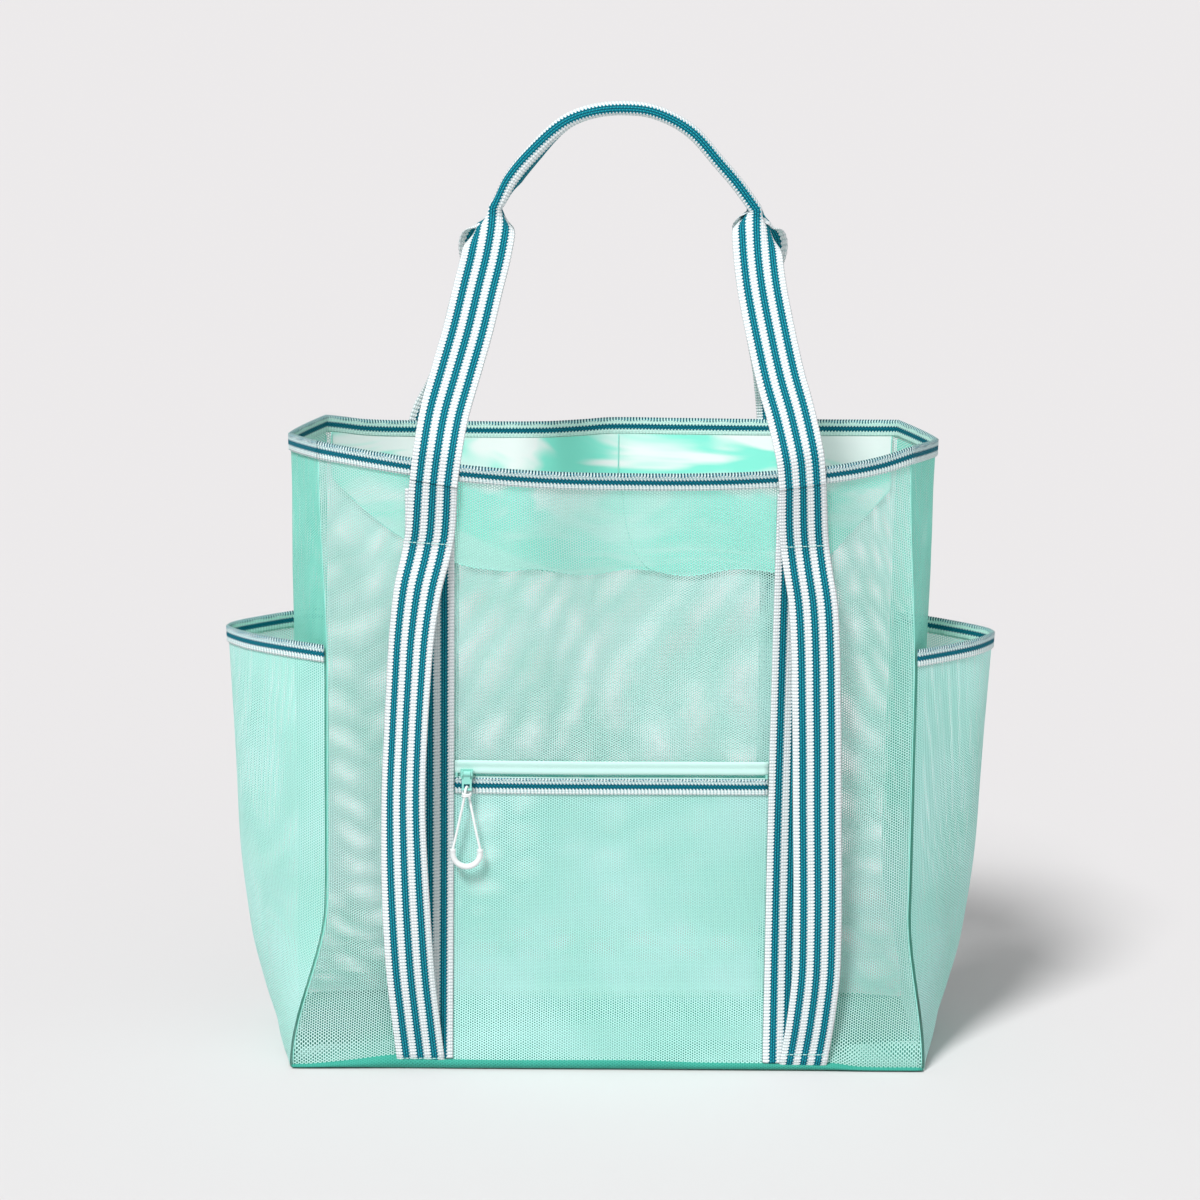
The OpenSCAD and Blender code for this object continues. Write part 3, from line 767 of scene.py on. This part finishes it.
def make_pull():
    """The cord hangs from the middle of the lower bar of the zip's tab."""
    low, high = node_box("zip_puller")
    x, y, z = (low[0] + high[0]) / 2, (low[1] + high[1]) / 2, low[2] + 1
    left = [(x - a, y - lean, z + b) for a, b, lean in reversed(HALF_ROUTE[1:])]
    right = [(x + a, y + lean, z + b) for a, b, lean in HALF_ROUTE]
    route = [Vector(p) for p in left + right]
    curve = bpy.data.curves.new("pull_loop_cord", "CURVE")
    curve.dimensions = "3D"
    curve.bevel_depth = CORD_R * MM
    curve.bevel_resolution = 4
    curve.use_fill_caps = True
    spline = curve.splines.new("POLY")
    spline.points.add(len(route) - 1)
    for point, p in zip(spline.points, route):
        point.co = (*(p * MM), 1)
    cord = add_object("pull_loop_cord", curve, "pull_loop", ["pull_cord"], CORD_CLOTH)
    length = arc_lengths(route)[-1] * MM
    turns = []
    for k, (width, drop) in enumerate(((3.15, -3.1), (3.35, -4.9))):
        loop = [(x + width * math.cos(a), y + 3 * math.sin(a), z + drop + 0.5 * math.sin(a + k * 2))
                for a in spread(28, 0, 2 * math.pi)[:-1]]
        turns.append(tube_parts(loop, 0.85, 10, closed=True))
    knot = add_object("pull_knot", join_parts(turns), "pull_loop", (), CORD_CLOTH)
    end = make_pull_end(x, y, z)


def make_pull_end(x, y, z):
    """Moulded U with a collar at each socket."""
    radius, top, leg = 10.7, -49, 3
    route = [(x - radius, top), (x - radius, top - leg * 0.5)]
    route += [(x - radius * math.cos(a), top - leg - radius * math.sin(a)) for a in spread(40, 0, math.pi)]
    route += [(x + radius, top - leg * 0.5), (x + radius, top)]
    route = [Vector((a, y, z + b)) for a, b in route]
    body = tube_parts(route, 2.3, 20)
    collars = [tube_parts([(x + side, y, z + top + 0.5 - k) for k in (0, 0.5, 1.4, 1.9)], 2.42, 20)
               for side in (-radius, radius)]
    data = join_parts([body] + collars)
    return add_object("pull_moulding", data, "pull_loop", ["pull_end"], PULL_PLASTIC)


# ---- Net walls, base and lining ----

def thread_piece(name, parts, material, replaces=()):
    add_object(name, join_parts(parts), "bag", replaces, material)


def left_side_at(q, t):
    return side_at(-q, t, -1)


def make_walls():
    for name, cad_node, at, steps, material, width, area in (
            ("front_net", "front_panel", front_at, FRONT_STEPS, NET, 0.52, 0.24),
            ("back_net", "back_panel", back_at, FRONT_STEPS, BACK_NET, 0.52, 0.24),
            ("right_gusset_net", "right_gusset", side_at, SIDE_STEPS, SHADED_SIDE_NET, 0.17, 0.074),
            ("left_gusset_net", "left_gusset", left_side_at, SIDE_STEPS, SHADED_SIDE_NET, 0.17, 0.074)):
        rows = [[at(s, t) for s in spread(steps, -1, 1)] for t in spread(96)]
        obj = add_object(name, grid(rows), "bag", [cad_node], material)


def base_lip(u, side, k):
    """The base cloth's rise from the floor to the bottom seam of the front or back."""
    lift = front_lift(u) if side < 0 else back_lift(u)
    x = u * (BASE_W / 2 + 1)
    return Vector((x, side * (BASE_D / 2 - 1 + 3.4 * math.sin(math.pi * k)), 0.8 + (lift + 2.2) * k ** 1.2))


def make_base():
    """Doubled net that turns up to the seams along the front and back."""
    across = spread(100, -1, 1)
    rows = [[base_lip(u, -1, k) for u in across] for k in spread(10, 1, 0)]
    for v in spread(30, -0.98, 0.98):
        rows.append([Vector((u * (BASE_W / 2 + 1), v * (BASE_D / 2 - 1), 0.8)) for u in across])
    rows += [[base_lip(u, 1, k) for u in across] for k in spread(10)]
    data = thick_grid(rows, 1, cloth_uvs(rows))
    obj = add_object("base_cloth", data, "bag", ["base_panel"], SHADED_BASE_CLOTH)


def make_seams():
    """Folded seam edges up the four corners, with a line of topstitching beside each."""
    rings = [ring(t, 0.15) for t in spread(90, 0.004, RIBBON_ROW - 0.005)]
    corners = ((0, 1, -1), (FRONT_STEPS, -1, -1), (FRONT_STEPS + SIDE_STEPS, 1, 1),
               (2 * FRONT_STEPS + SIDE_STEPS, -1, 1))
    edge_parts, thread_parts = [], []
    for index, step, face in corners:
        edge_parts.append(tube_parts([r[index] for r in rings], 0.35, 8))
        line = [r[index].lerp(r[index + step], 0.6) for r in rings]
        thread_parts += stitches(line, (0, face, 0), 3.2, 1.1, 0.18)
    add_object("seam_edges", join_parts(edge_parts), "bag", ["seam_piping"], SEAM_CLOTH)
    thread_piece("seam_topstitching", thread_parts, THREAD)


def make_seam_allowances():
    """The cloth turned in along the bottom of the front and back, seen through the net."""
    def place(at, s, k):
        return at(s, mix(0.001, 0.032 + 0.008 * math.sin(s * 7 + 1) + 0.006 * s, k))

    for name, at, face in (("front", front_at, -1), ("back", back_at, 1)):
        inset = Vector((0, face * 0.9, 0))
        rows = [[place(at, s, k) - inset for s in spread(60, -0.985, 0.985)] for k in spread(6)]
        obj = add_object(f"{name}_seam_allowance", grid(rows), "bag", (), NET)


def make_lining():
    """The inner pocket of lining cloth, with a seam down its middle."""
    rows = []
    for k in spread(40):
        left = mix(-0.36, -0.98, math.sqrt(clamp(k / 0.66)))
        right = mix(0.74, 0.98, clamp(k / 0.6))
        row = []
        for j in spread(72):
            s = -mix(left, right, j)
            low = 0.754 - 0.006 * math.sin(math.pi * j) ** 2 + 0.005 * math.sin(j * 19)
            t = mix(low, RIBBON_ROW + 0.002, k)
            p = back_at(s, t)
            hang = 0.8 * math.sin(j * 17 + k * 5) * math.sin(math.pi * j) * math.sin(math.pi * k)
            row.append(p - Vector((0, 2.9 + hang, 0)))
        rows.append(row)
    obj = add_object("lining_cloth", grid(rows), "bag", ["inner_pocket"], LINING)
    seams = [([r[len(r) // 2 + 1] for r in rows], 0.5), (rows[0], 0.3)]
    seams += [([r[edge] for r in rows], 0.3) for edge in (0, -1)]
    parts = [tube_parts([p - Vector((0, off, 0)) for p in line], 0.5, 6) for line, off in seams]
    add_object("lining_seams", join_parts(parts), "bag", (), SEAM_CLOTH)


# ---- Edge ribbon ----

EDGE_LIFT = 0.3
# Length, gap and radius of the stitches along a ribbon
RIBBON_STITCH = (2.8, 1, 0.26)


def folded_ribbon(name, row_at, outs, cad_node, closed):
    """Ribbon folded over an edge. row_at gives a row of points for a share of the
    ribbon's height below the edge, a distance out and a rise. outs are the distances
    out of its outer side, fold and inner side. The pattern starts from the fold."""
    outer, fold, inner = outs
    profile = [(row_at(1 - k, outer, EDGE_LIFT), RIBBON_H * (1 - k)) for k in spread(6)]
    profile.append((row_at(0, fold, EDGE_LIFT + RIBBON_T), 0))
    profile += [(row_at(k, inner, EDGE_LIFT), -RIBBON_H * k) for k in spread(6)]
    edge = profile[0][0]
    lengths = arc_lengths(edge)
    if closed:
        lengths.append(lengths[-1] + (edge[0] - edge[-1]).length)
    rows = [[points[c % len(edge)] for points, _ in profile] for c in range(len(lengths))]
    uvs = [(distance, along) for along in lengths for _, distance in profile]
    add_object(name, thick_grid(rows, RIBBON_T, uvs), "bag", [cad_node], RIBBON)


def make_rim_ribbon():
    def row_at(k, out, up):
        return ring(mix(1, RIBBON_ROW, k), out, up * (1 - k))

    folded_ribbon("rim_ribbon", row_at, (1.6, 0.5, -0.6), "rim_binding", True)
    line = ring(RIBBON_ROW + 0.0035, 1.6 + RIBBON_T * 0.55)
    right, back = FRONT_STEPS, FRONT_STEPS + SIDE_STEPS
    left = back + FRONT_STEPS
    thread = []
    for first, last, normal in ((0, right, (0, -1, 0)), (back, left, (0, 1, 0)),
                                (right, back, (1, 0, 0)), (left, len(line) - 1, (-1, 0, 0))):
        thread += stitches(line[first:last + 1], normal, *RIBBON_STITCH)
    thread_piece("rim_ribbon_stitches", thread, WHITE_THREAD)


# ---- Side pockets ----

def make_pocket(side, name):
    across = [q * side for q in spread(64, -1, 1)]
    heights = [mix(BASE_T + 0.3, POCKET_H - 0.5, k ** 1.15) for k in spread(72)]
    inner_x = side * (BASE_W / 2 + 1.2)
    rows = []
    for angle in spread(5, 0, math.pi / 2):
        foot = [pocket_at(q, heights[0], 0, side) for q in across]
        rows.append([Vector((mix(inner_x, p.x, math.sin(angle)), p.y,
                             mix(0.7, p.z, 1 - math.cos(angle)))) for p in foot])
    rows += [[pocket_at(q, z, 0, side) for q in across] for z in heights[1:]]
    obj = add_object(f"{name}_pocket_net", grid(rows), "bag", [f"{name}_pocket"], POCKET_NET)

    def row_at(k, out, up):
        return [pocket_at(q, POCKET_H - RIBBON_H * k + up, out, side) for q in across]

    folded_ribbon(f"{name}_pocket_ribbon", row_at, (1.3, 0.4, -0.6), f"{name}_pocket_binding", False)
    thread = stitches(row_at(1, 1.8, 1.6), (side, 0, 0), *RIBBON_STITCH)
    thread_piece(f"{name}_pocket_stitches", thread, WHITE_THREAD)


# ---- Front pocket and zip ----

def puffed(k):
    """How far a flap stands up, by the share of the way across it."""
    return 0.5 * math.sin(math.pi * k) + 0.35 * math.sin(3 * math.pi * k)


def front_band(x0, x1, z0, z1, out, cols, rows, puff=0):
    """Rows of points on the front panel, from z0 up to z1."""
    return [[Vector((x, front_y(x, z, out + puff * puffed(k)), z)) for x in spread(cols, x0, x1)]
            for k, z in zip(spread(rows), spread(rows, z0, z1))]


def zip_band(z0, z1, out, steps, puff=0):
    """Rows of points up a band as long as the zip, from its left end to its right."""
    rows = front_band(-ZIP_HALF, ZIP_HALF, z0, z1, out, 60, steps, puff)
    return [list(column) for column in zip(*rows)]


def make_front_pocket():
    rows = front_band(-ZIP_HALF, ZIP_HALF, 5, ZIP_Z - 12, 1.9, 60, 60)
    obj = add_object("front_pocket_net", grid(rows), "bag", ["front_pocket_panel"], POCKET_NET)
    columns = zip_band(ZIP_Z - 15, ZIP_Z - 2, 2.85, 8)
    uvs = [(RIBBON_H * (1 - k), along) for along in spread(60, 0, 2 * ZIP_HALF) for k in spread(8)]
    data = thick_grid(columns, 0.85, uvs)
    add_object("front_pocket_ribbon", data, "bag", ["front_pocket_binding"], RIBBON)
    thread = []
    for z in (ZIP_Z - 13.8, ZIP_Z - 3):
        line = [(x, front_y(x, z, 3.3), z) for x in spread(40, -ZIP_HALF + 2, ZIP_HALF - 2)]
        thread += stitches(line, (0, -1, 0), 2.8, 1, 0.24)
    thread_piece("front_pocket_stitches", thread, WHITE_THREAD)


def make_zip():
    for name, low, high, puff, cad_node in (
            ("zip_lower_cloth", ZIP_Z - 12, ZIP_Z - 1.1, 0, "zip_lower_tape"),
            ("zip_upper_flap", ZIP_Z + 1.1, ZIP_Z + 12, 1, "zip_upper_tape")):
        columns = zip_band(low, high, 1.9, 14, puff)
        uvs = [(j * 0.8, i * 4) for i in range(len(columns)) for j in range(15)]
        add_object(name, thick_grid(columns, 0.8, uvs), "bag", [cad_node], ZIP_CLOTH)
    pitch, steps = 1.25, 8
    for name, side in (("upper", 1), ("lower", -1)):
        route = []
        for i in range(int(2 * (ZIP_HALF - 1) / pitch) * steps):
            x = -ZIP_HALF + 1 + i * pitch / steps
            angle = 2 * math.pi * i / steps
            z = ZIP_Z + side * (0.42 + 0.3 * math.cos(angle))
            route.append((x, front_y(x, z, 2.1 + 0.42 * math.sin(angle)), z))
        data = mesh(*tube_parts(route, 0.24, 5))
        add_object(f"zip_{name}_teeth", data, "bag", [f"zip_{name}_coil"], SHADED_COIL_PLASTIC)


def paint_metal():
    """The slider, its tab and the stops keep their CAD shapes, with a lacquer."""
    for name in ("zip_slider", "zip_puller", "zip_stops"):
        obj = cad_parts[name]
        for slot in obj.material_slots:
            slot.material = LACQUER
        if not obj.material_slots:
            obj.data.materials.append(LACQUER)


# ---- Webbing and straps ----

ACROSS = 16
ROW_STEP = WEAVE_RIB / 2
SCALLOP = 0.2


def scallop(row, count):
    """The row with its two ends moved in or out, as the weft turns at the edges."""
    move = SCALLOP if count % 2 else -SCALLOP
    row[0] = row[0] + (row[0] - row[1]).normalized() * move
    row[-1] = row[-1] + (row[-1] - row[-2]).normalized() * move
    return row


def band_uvs(rows):
    """Across the webbing from its left edge, and along it."""
    last = len(rows[0]) - 1
    along = arc_lengths([r[last // 2] for r in rows])
    return [(j * WEBBING_W / last, v) for v in along for j in range(last + 1)]


def webbing_piece(name, rows, body=None, replaces=()):
    rows = [scallop(list(row), i) for i, row in enumerate(rows)]
    data = thick_grid(rows, WEBBING_T, band_uvs(rows))
    return add_object(name, data, body, replaces, WEBBING)


STRAP_BULGE = [(4, 0), (14, 0.3), (40, 5), (80, 11), (130, 16), (190, 19.5), (250, 20.5),
               (310, 19), (360, 14.5), (395, 8.5), (415, 3), (428, 0), (440, 0), (500, 0)]
STRAP_MIDDLES = {
    -1: [(4, -148), (42, -152.2), (82, -156.4), (130, -159.4), (180, -161.4), (230, -162), (277, -160.4),
         (325, -157.9), (360, -155.5), (395, -150.9), (420, -145), (440, -141.6), (480, -139.2)],
    1: [(4, 155), (40, 159.6), (80, 163), (110, 163.2), (150, 162.4), (220, 160), (270, 158.5),
        (310, 157), (350, 155.4), (385, 152.8), (415, 147.8), (440, 144.4), (480, 142.2)]}
STRAP_TWISTS = [(4, 0), (100, 0), (220, 24), (350, 24), (415, 8), (440, 0)]
STRAP_FEET = {-1: 7.5, 1: 5}
STRAP_OUT = 3.9
BACK_BAND_OUT = 3


def strap_place(side, z, a):
    """A place on a loose strap's front at a height, a from -0.5 to 0.5 across it."""
    bulge = max(0, curve_through(STRAP_BULGE, z))
    twist = math.radians(curve_through(STRAP_TWISTS, z)) if side < 0 else 0
    middle = curve_through(STRAP_MIDDLES[side], z)
    x = middle + a * WEBBING_W * math.cos(twist)
    cup = 0.9 * (1 - 4 * a * a) * smooth(bulge / 6)
    turned_in = 2.2 * smooth(1 - (z - STRAP_FEET[side]) / 6)
    out = STRAP_OUT + bulge + cup + a * WEBBING_W * math.sin(twist) - turned_in
    return Vector((x, front_y(mix(x, middle, smooth(bulge / 12)), z, out), z))


def towards_foot(row, foot, z):
    """A cross-row turned towards the foot of the handle above it."""
    return [p.lerp(q, smooth((z - TURN_Z) / (BAND_TOP - TURN_Z))) for p, q in zip(row, foot)]


def band_edges(side):
    return side * WEBBING_X - WEBBING_W / 2, side * WEBBING_X + WEBBING_W / 2


def strap_rows(side):
    """Rows of a loose strap, which ends against the foot of the handle above it."""
    foot = handle_foot(-1, side)
    rows = []
    for z in spread(round((BAND_TOP - STRAP_FEET[side]) / ROW_STEP), STRAP_FEET[side], BAND_TOP):
        row = [strap_place(side, z, a) for a in spread(ACROSS, -0.5, 0.5)]
        rows.append(towards_foot(row, foot, z))
    return rows


def back_band_rows(side):
    foot = handle_foot(1, side)
    x0, x1 = band_edges(side)
    rows = []
    for z in spread(350, 6, BAND_TOP):
        row = [Vector((x, back_y(x, z, BACK_BAND_OUT), z)) for x in spread(ACROSS, x1, x0)]
        rows.append(towards_foot(row, foot, z))
    return rows


def make_webbings():
    for side, name in ((-1, "left"), (1, "right")):
        rows = front_band(*band_edges(side), STRAP_FEET[side] + 2, UPPER_STITCH_Z - 5, 2.2, ACROSS, 346)
        webbing_piece(f"front_{name}_band", rows, "bag", [f"front_{name}_webbing"])
        webbing_piece(f"back_{name}_band", back_band_rows(side), "bag", [f"back_{name}_webbing"])
        webbing_piece(f"front_{name}_loose_strap", strap_rows(side), "bag", [f"front_{name}_strap"])


FOOT_STITCH_Z = {-1: 9.5, 1: 15}


def make_webbing_stitches():
    parts = []
    for side in (-1, 1):
        for z in (FOOT_STITCH_Z[side], LOWER_STITCH_Z, UPPER_STITCH_Z):
            line = [strap_place(side, z, a) for a in spread(12, -0.42, 0.42)]
            line = [p - Vector((0, WEBBING_T / 2, 0)) for p in line]
            parts += stitches(line, (0, -1, 0), 2.6, 0.8, 0.36)
        middle = side * WEBBING_X
        for z in (9, LOWER_STITCH_Z, UPPER_STITCH_Z):
            line = [(x, back_y(x, z, 3.7), z) for x in spread(12, middle - 16, middle + 16)]
            parts += stitches(line, (0, 1, 0), 2.6, 0.8, 0.36)
        for edge in (middle - 17.6, middle + 17.6):
            line = [(edge, back_y(edge, z, 3.7), z) for z in spread(60, 10, UPPER_STITCH_Z - 2)]
            parts += stitches(line, (0, 1, 0), 3.2, 1.2, 0.3)
    thread_piece("webbing_threads", parts, THREAD, ["webbing_stitches"])


# ---- Carrying handles ----

UPRIGHT = 0.1
LEFT_LEG = [(478, -139.2), (500, -136.5), (530, -131.3), (558, -123.2), (589, -114.1), (620, -106.4),
            (643, -100.6), (662, -97.2), (677, -96)]
RIGHT_LEG = [(478, 142.2), (500, 139.8), (530, 133.1), (558, 125), (589, 117.9), (620, 111.8),
             (643, 108.9), (662, 107.9), (677, 108)]
GRIP_ARCH = [(-96, 677), (-85, 700), (-65, 723.4), (-43, 742.6), (-22, 751.3), (3, 754.4), (29, 751.4),
             (57, 736.8), (80, 711.8), (93, 697), (108, 677)]
# Which way the rolled webbing faces: degrees of turn for each millimetre across it
ROLL = [(-19, 400), (-16, 330), (-14, 262), (-11.3, 186), (-8.5, 172), (-4.4, 84), (-3, 26), (0, 8),
        (3, -14), (6, -84), (9.5, -118), (12.5, -172), (19, -188)]
ROLL_FRONT = 8.5
HANDLE_ACROSS = 32


def straight_between(points, x):
    """Straight lines through (x, y) points."""
    for (x0, y0), (x1, y1) in zip(points, points[1:]):
        if x <= x1:
            return mix(y0, y1, clamp((x - x0) / (x1 - x0)))
    return points[-1][1]


def bent_start(k, bend=0.08):
    """Straight, but for a rounded start."""
    return max(0, k) ** 2 / (2 * bend) if k < bend else clamp((k - bend / 2) / (1 - bend / 2))


def handle_line(foot_y, grip_y, widen, leans):
    """The webbing's middle line from the left foot over the grip to the right foot.
    leans are the left and right legs' shifts to the right, by height."""
    def leg(points, z, side):
        k = (z - BAND_TOP) / (GRIP_Z - 6 - BAND_TOP)
        loop = widen * math.exp(-((z - 646) / 12) ** 2)
        lean = curve_through(leans[side > 0], z)
        y = mix(foot_y, grip_y, bent_start((k - UPRIGHT) / (1 - UPRIGHT)))
        return Vector((curve_through(points, z) + side * loop + lean, y, z))

    heights = spread(round((GRIP_Z - BAND_TOP) / ROW_STEP), BAND_TOP, GRIP_Z)
    left = [leg(LEFT_LEG, z, -1) for z in heights]
    right = [leg(RIGHT_LEG, z, 1) for z in reversed(heights)]
    dense = [Vector((x, grip_y, curve_through(GRIP_ARCH, x))) for x in spread(400, -96, 108)]
    total = arc_lengths(dense)[-1]
    arch = along_line(dense, spread(round(total / ROW_STEP), 0, total)[1:-1])
    return left + arch + right, len(left)


def rolled_row(p, inward, front, outer, inner, shift):
    """A cross-row whose two halves are rolled by the shares outer and inner. shift
    moves the roll sideways on the webbing, in millimetres."""
    fine, half = 3, HANDLE_ACROSS // 2
    step = WEBBING_W / HANDLE_ACROSS / fine
    sides = {}
    for sign, share in ((-1, outer), (1, inner)):
        q, sides[sign] = p.copy(), []
        for n in range(half * fine):
            turn = math.radians(share * straight_between(ROLL, sign * (n + 0.5) * step - shift))
            q = q + (inward * math.cos(turn) + front * math.sin(turn)) * sign * step
            if n % fine == fine - 1:
                sides[sign].append(q)
    return sides[-1][::-1] + [p] + sides[1]


def roll_shares(from_left, past):
    """How far the outer and inner halves are rolled, and the roll's shift, at lengths
    past the left leg's end and the nearest leg's end."""
    outer = mix(0.28 * smooth((past + 44) / 32), 1, smooth((past + 15) / 15))
    inner = clamp((past + 27) / 27) ** 2.6
    opened = 0.5 * smooth((from_left - 4) / 26) * (1 - smooth((from_left - 40) / 80))
    shift = mix(2.4, 0, smooth(from_left / 130)) * smooth((past + 10) / 20)
    return outer, inner - opened, shift


def handle_rows(depth, foot_out, grip_y, widen, leans):
    """Cross-rows of the webbing: flat on the legs, rolled along the grip."""
    foot_y, slope = depth(LEG_X, BAND_TOP, foot_out), panel_slope(depth)
    line, leg_count = handle_line(foot_y, grip_y, widen, leans)
    lengths = arc_lengths(line)
    total = lengths[-1]
    leg_length = lengths[leg_count - 1]
    face = -1 if foot_y < 0 else 1
    rows = []
    for i, p in enumerate(line):
        d = (line[min(i + 3, len(line) - 1)] - line[max(i - 3, 0)]).normalized()
        from_left = lengths[i] - leg_length
        past = min(from_left, total - lengths[i] - leg_length)
        twist = slope * clamp(-past / leg_length) ** 1.5
        inward = Vector((d.z, 0, -d.x)).normalized()
        inward = (inward + Vector((0, face * twist, 0))).normalized()
        front = Vector((0, face, 0))
        front = (front - front.dot(d) * d - front.dot(inward) * inward).normalized()
        rows.append(rolled_row(p, inward, front, *roll_shares(from_left, past)))
    return rows


def panel_slope(depth):
    """How much a panel steps back for each millimetre outwards, at a handle's foot."""
    return abs(depth(LEG_X - 10, BAND_TOP) - depth(LEG_X + 10, BAND_TOP)) / 20


UNMOVED = [(BAND_TOP, 0)]
BACK_LEFT_LEAN = [(BAND_TOP, -9), (495, -6), (515, 1), (535, 4.5), (560, 3.5), (590, 1.5), (646, 2),
                  (GRIP_Z, 0)]
BACK_RIGHT_LEAN = [(BAND_TOP, -5), (515, -2), (552, 2), (590, 3), (620, 2.5), (646, 1), (GRIP_Z, 0)]
HANDLES = {-1: (front_y, STRAP_OUT, -ROLL_FRONT, 0, (UNMOVED, UNMOVED)),
           1: (back_y, BACK_BAND_OUT, ROLL_FRONT, 6, (BACK_LEFT_LEAN, BACK_RIGHT_LEAN))}


def handle_foot(face, side):
    """The lowest row of a handle's leg, in the order of the band below it."""
    rows = handle_rows(*HANDLES[face])
    row = (rows[0] if side < 0 else rows[-1])[::HANDLE_ACROSS // ACROSS]
    return row if side == face else row[::-1]


def make_handles():
    for face, cad_node in ((-1, "front_handle"), (1, "back_handle")):
        rows = handle_rows(*HANDLES[face])
        obj = webbing_piece(f"{cad_node}_webbing", rows)
        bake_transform(obj)
        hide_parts(cad_node)


make_camera()
make_pull()
make_light()
make_floor()
make_walls()
make_base()
make_seams()
make_seam_allowances()
make_lining()
make_rim_ribbon()
make_pocket(1, "right")
make_pocket(-1, "left")
make_front_pocket()
make_zip()
paint_metal()
make_webbings()
make_webbing_stitches()
make_handles()
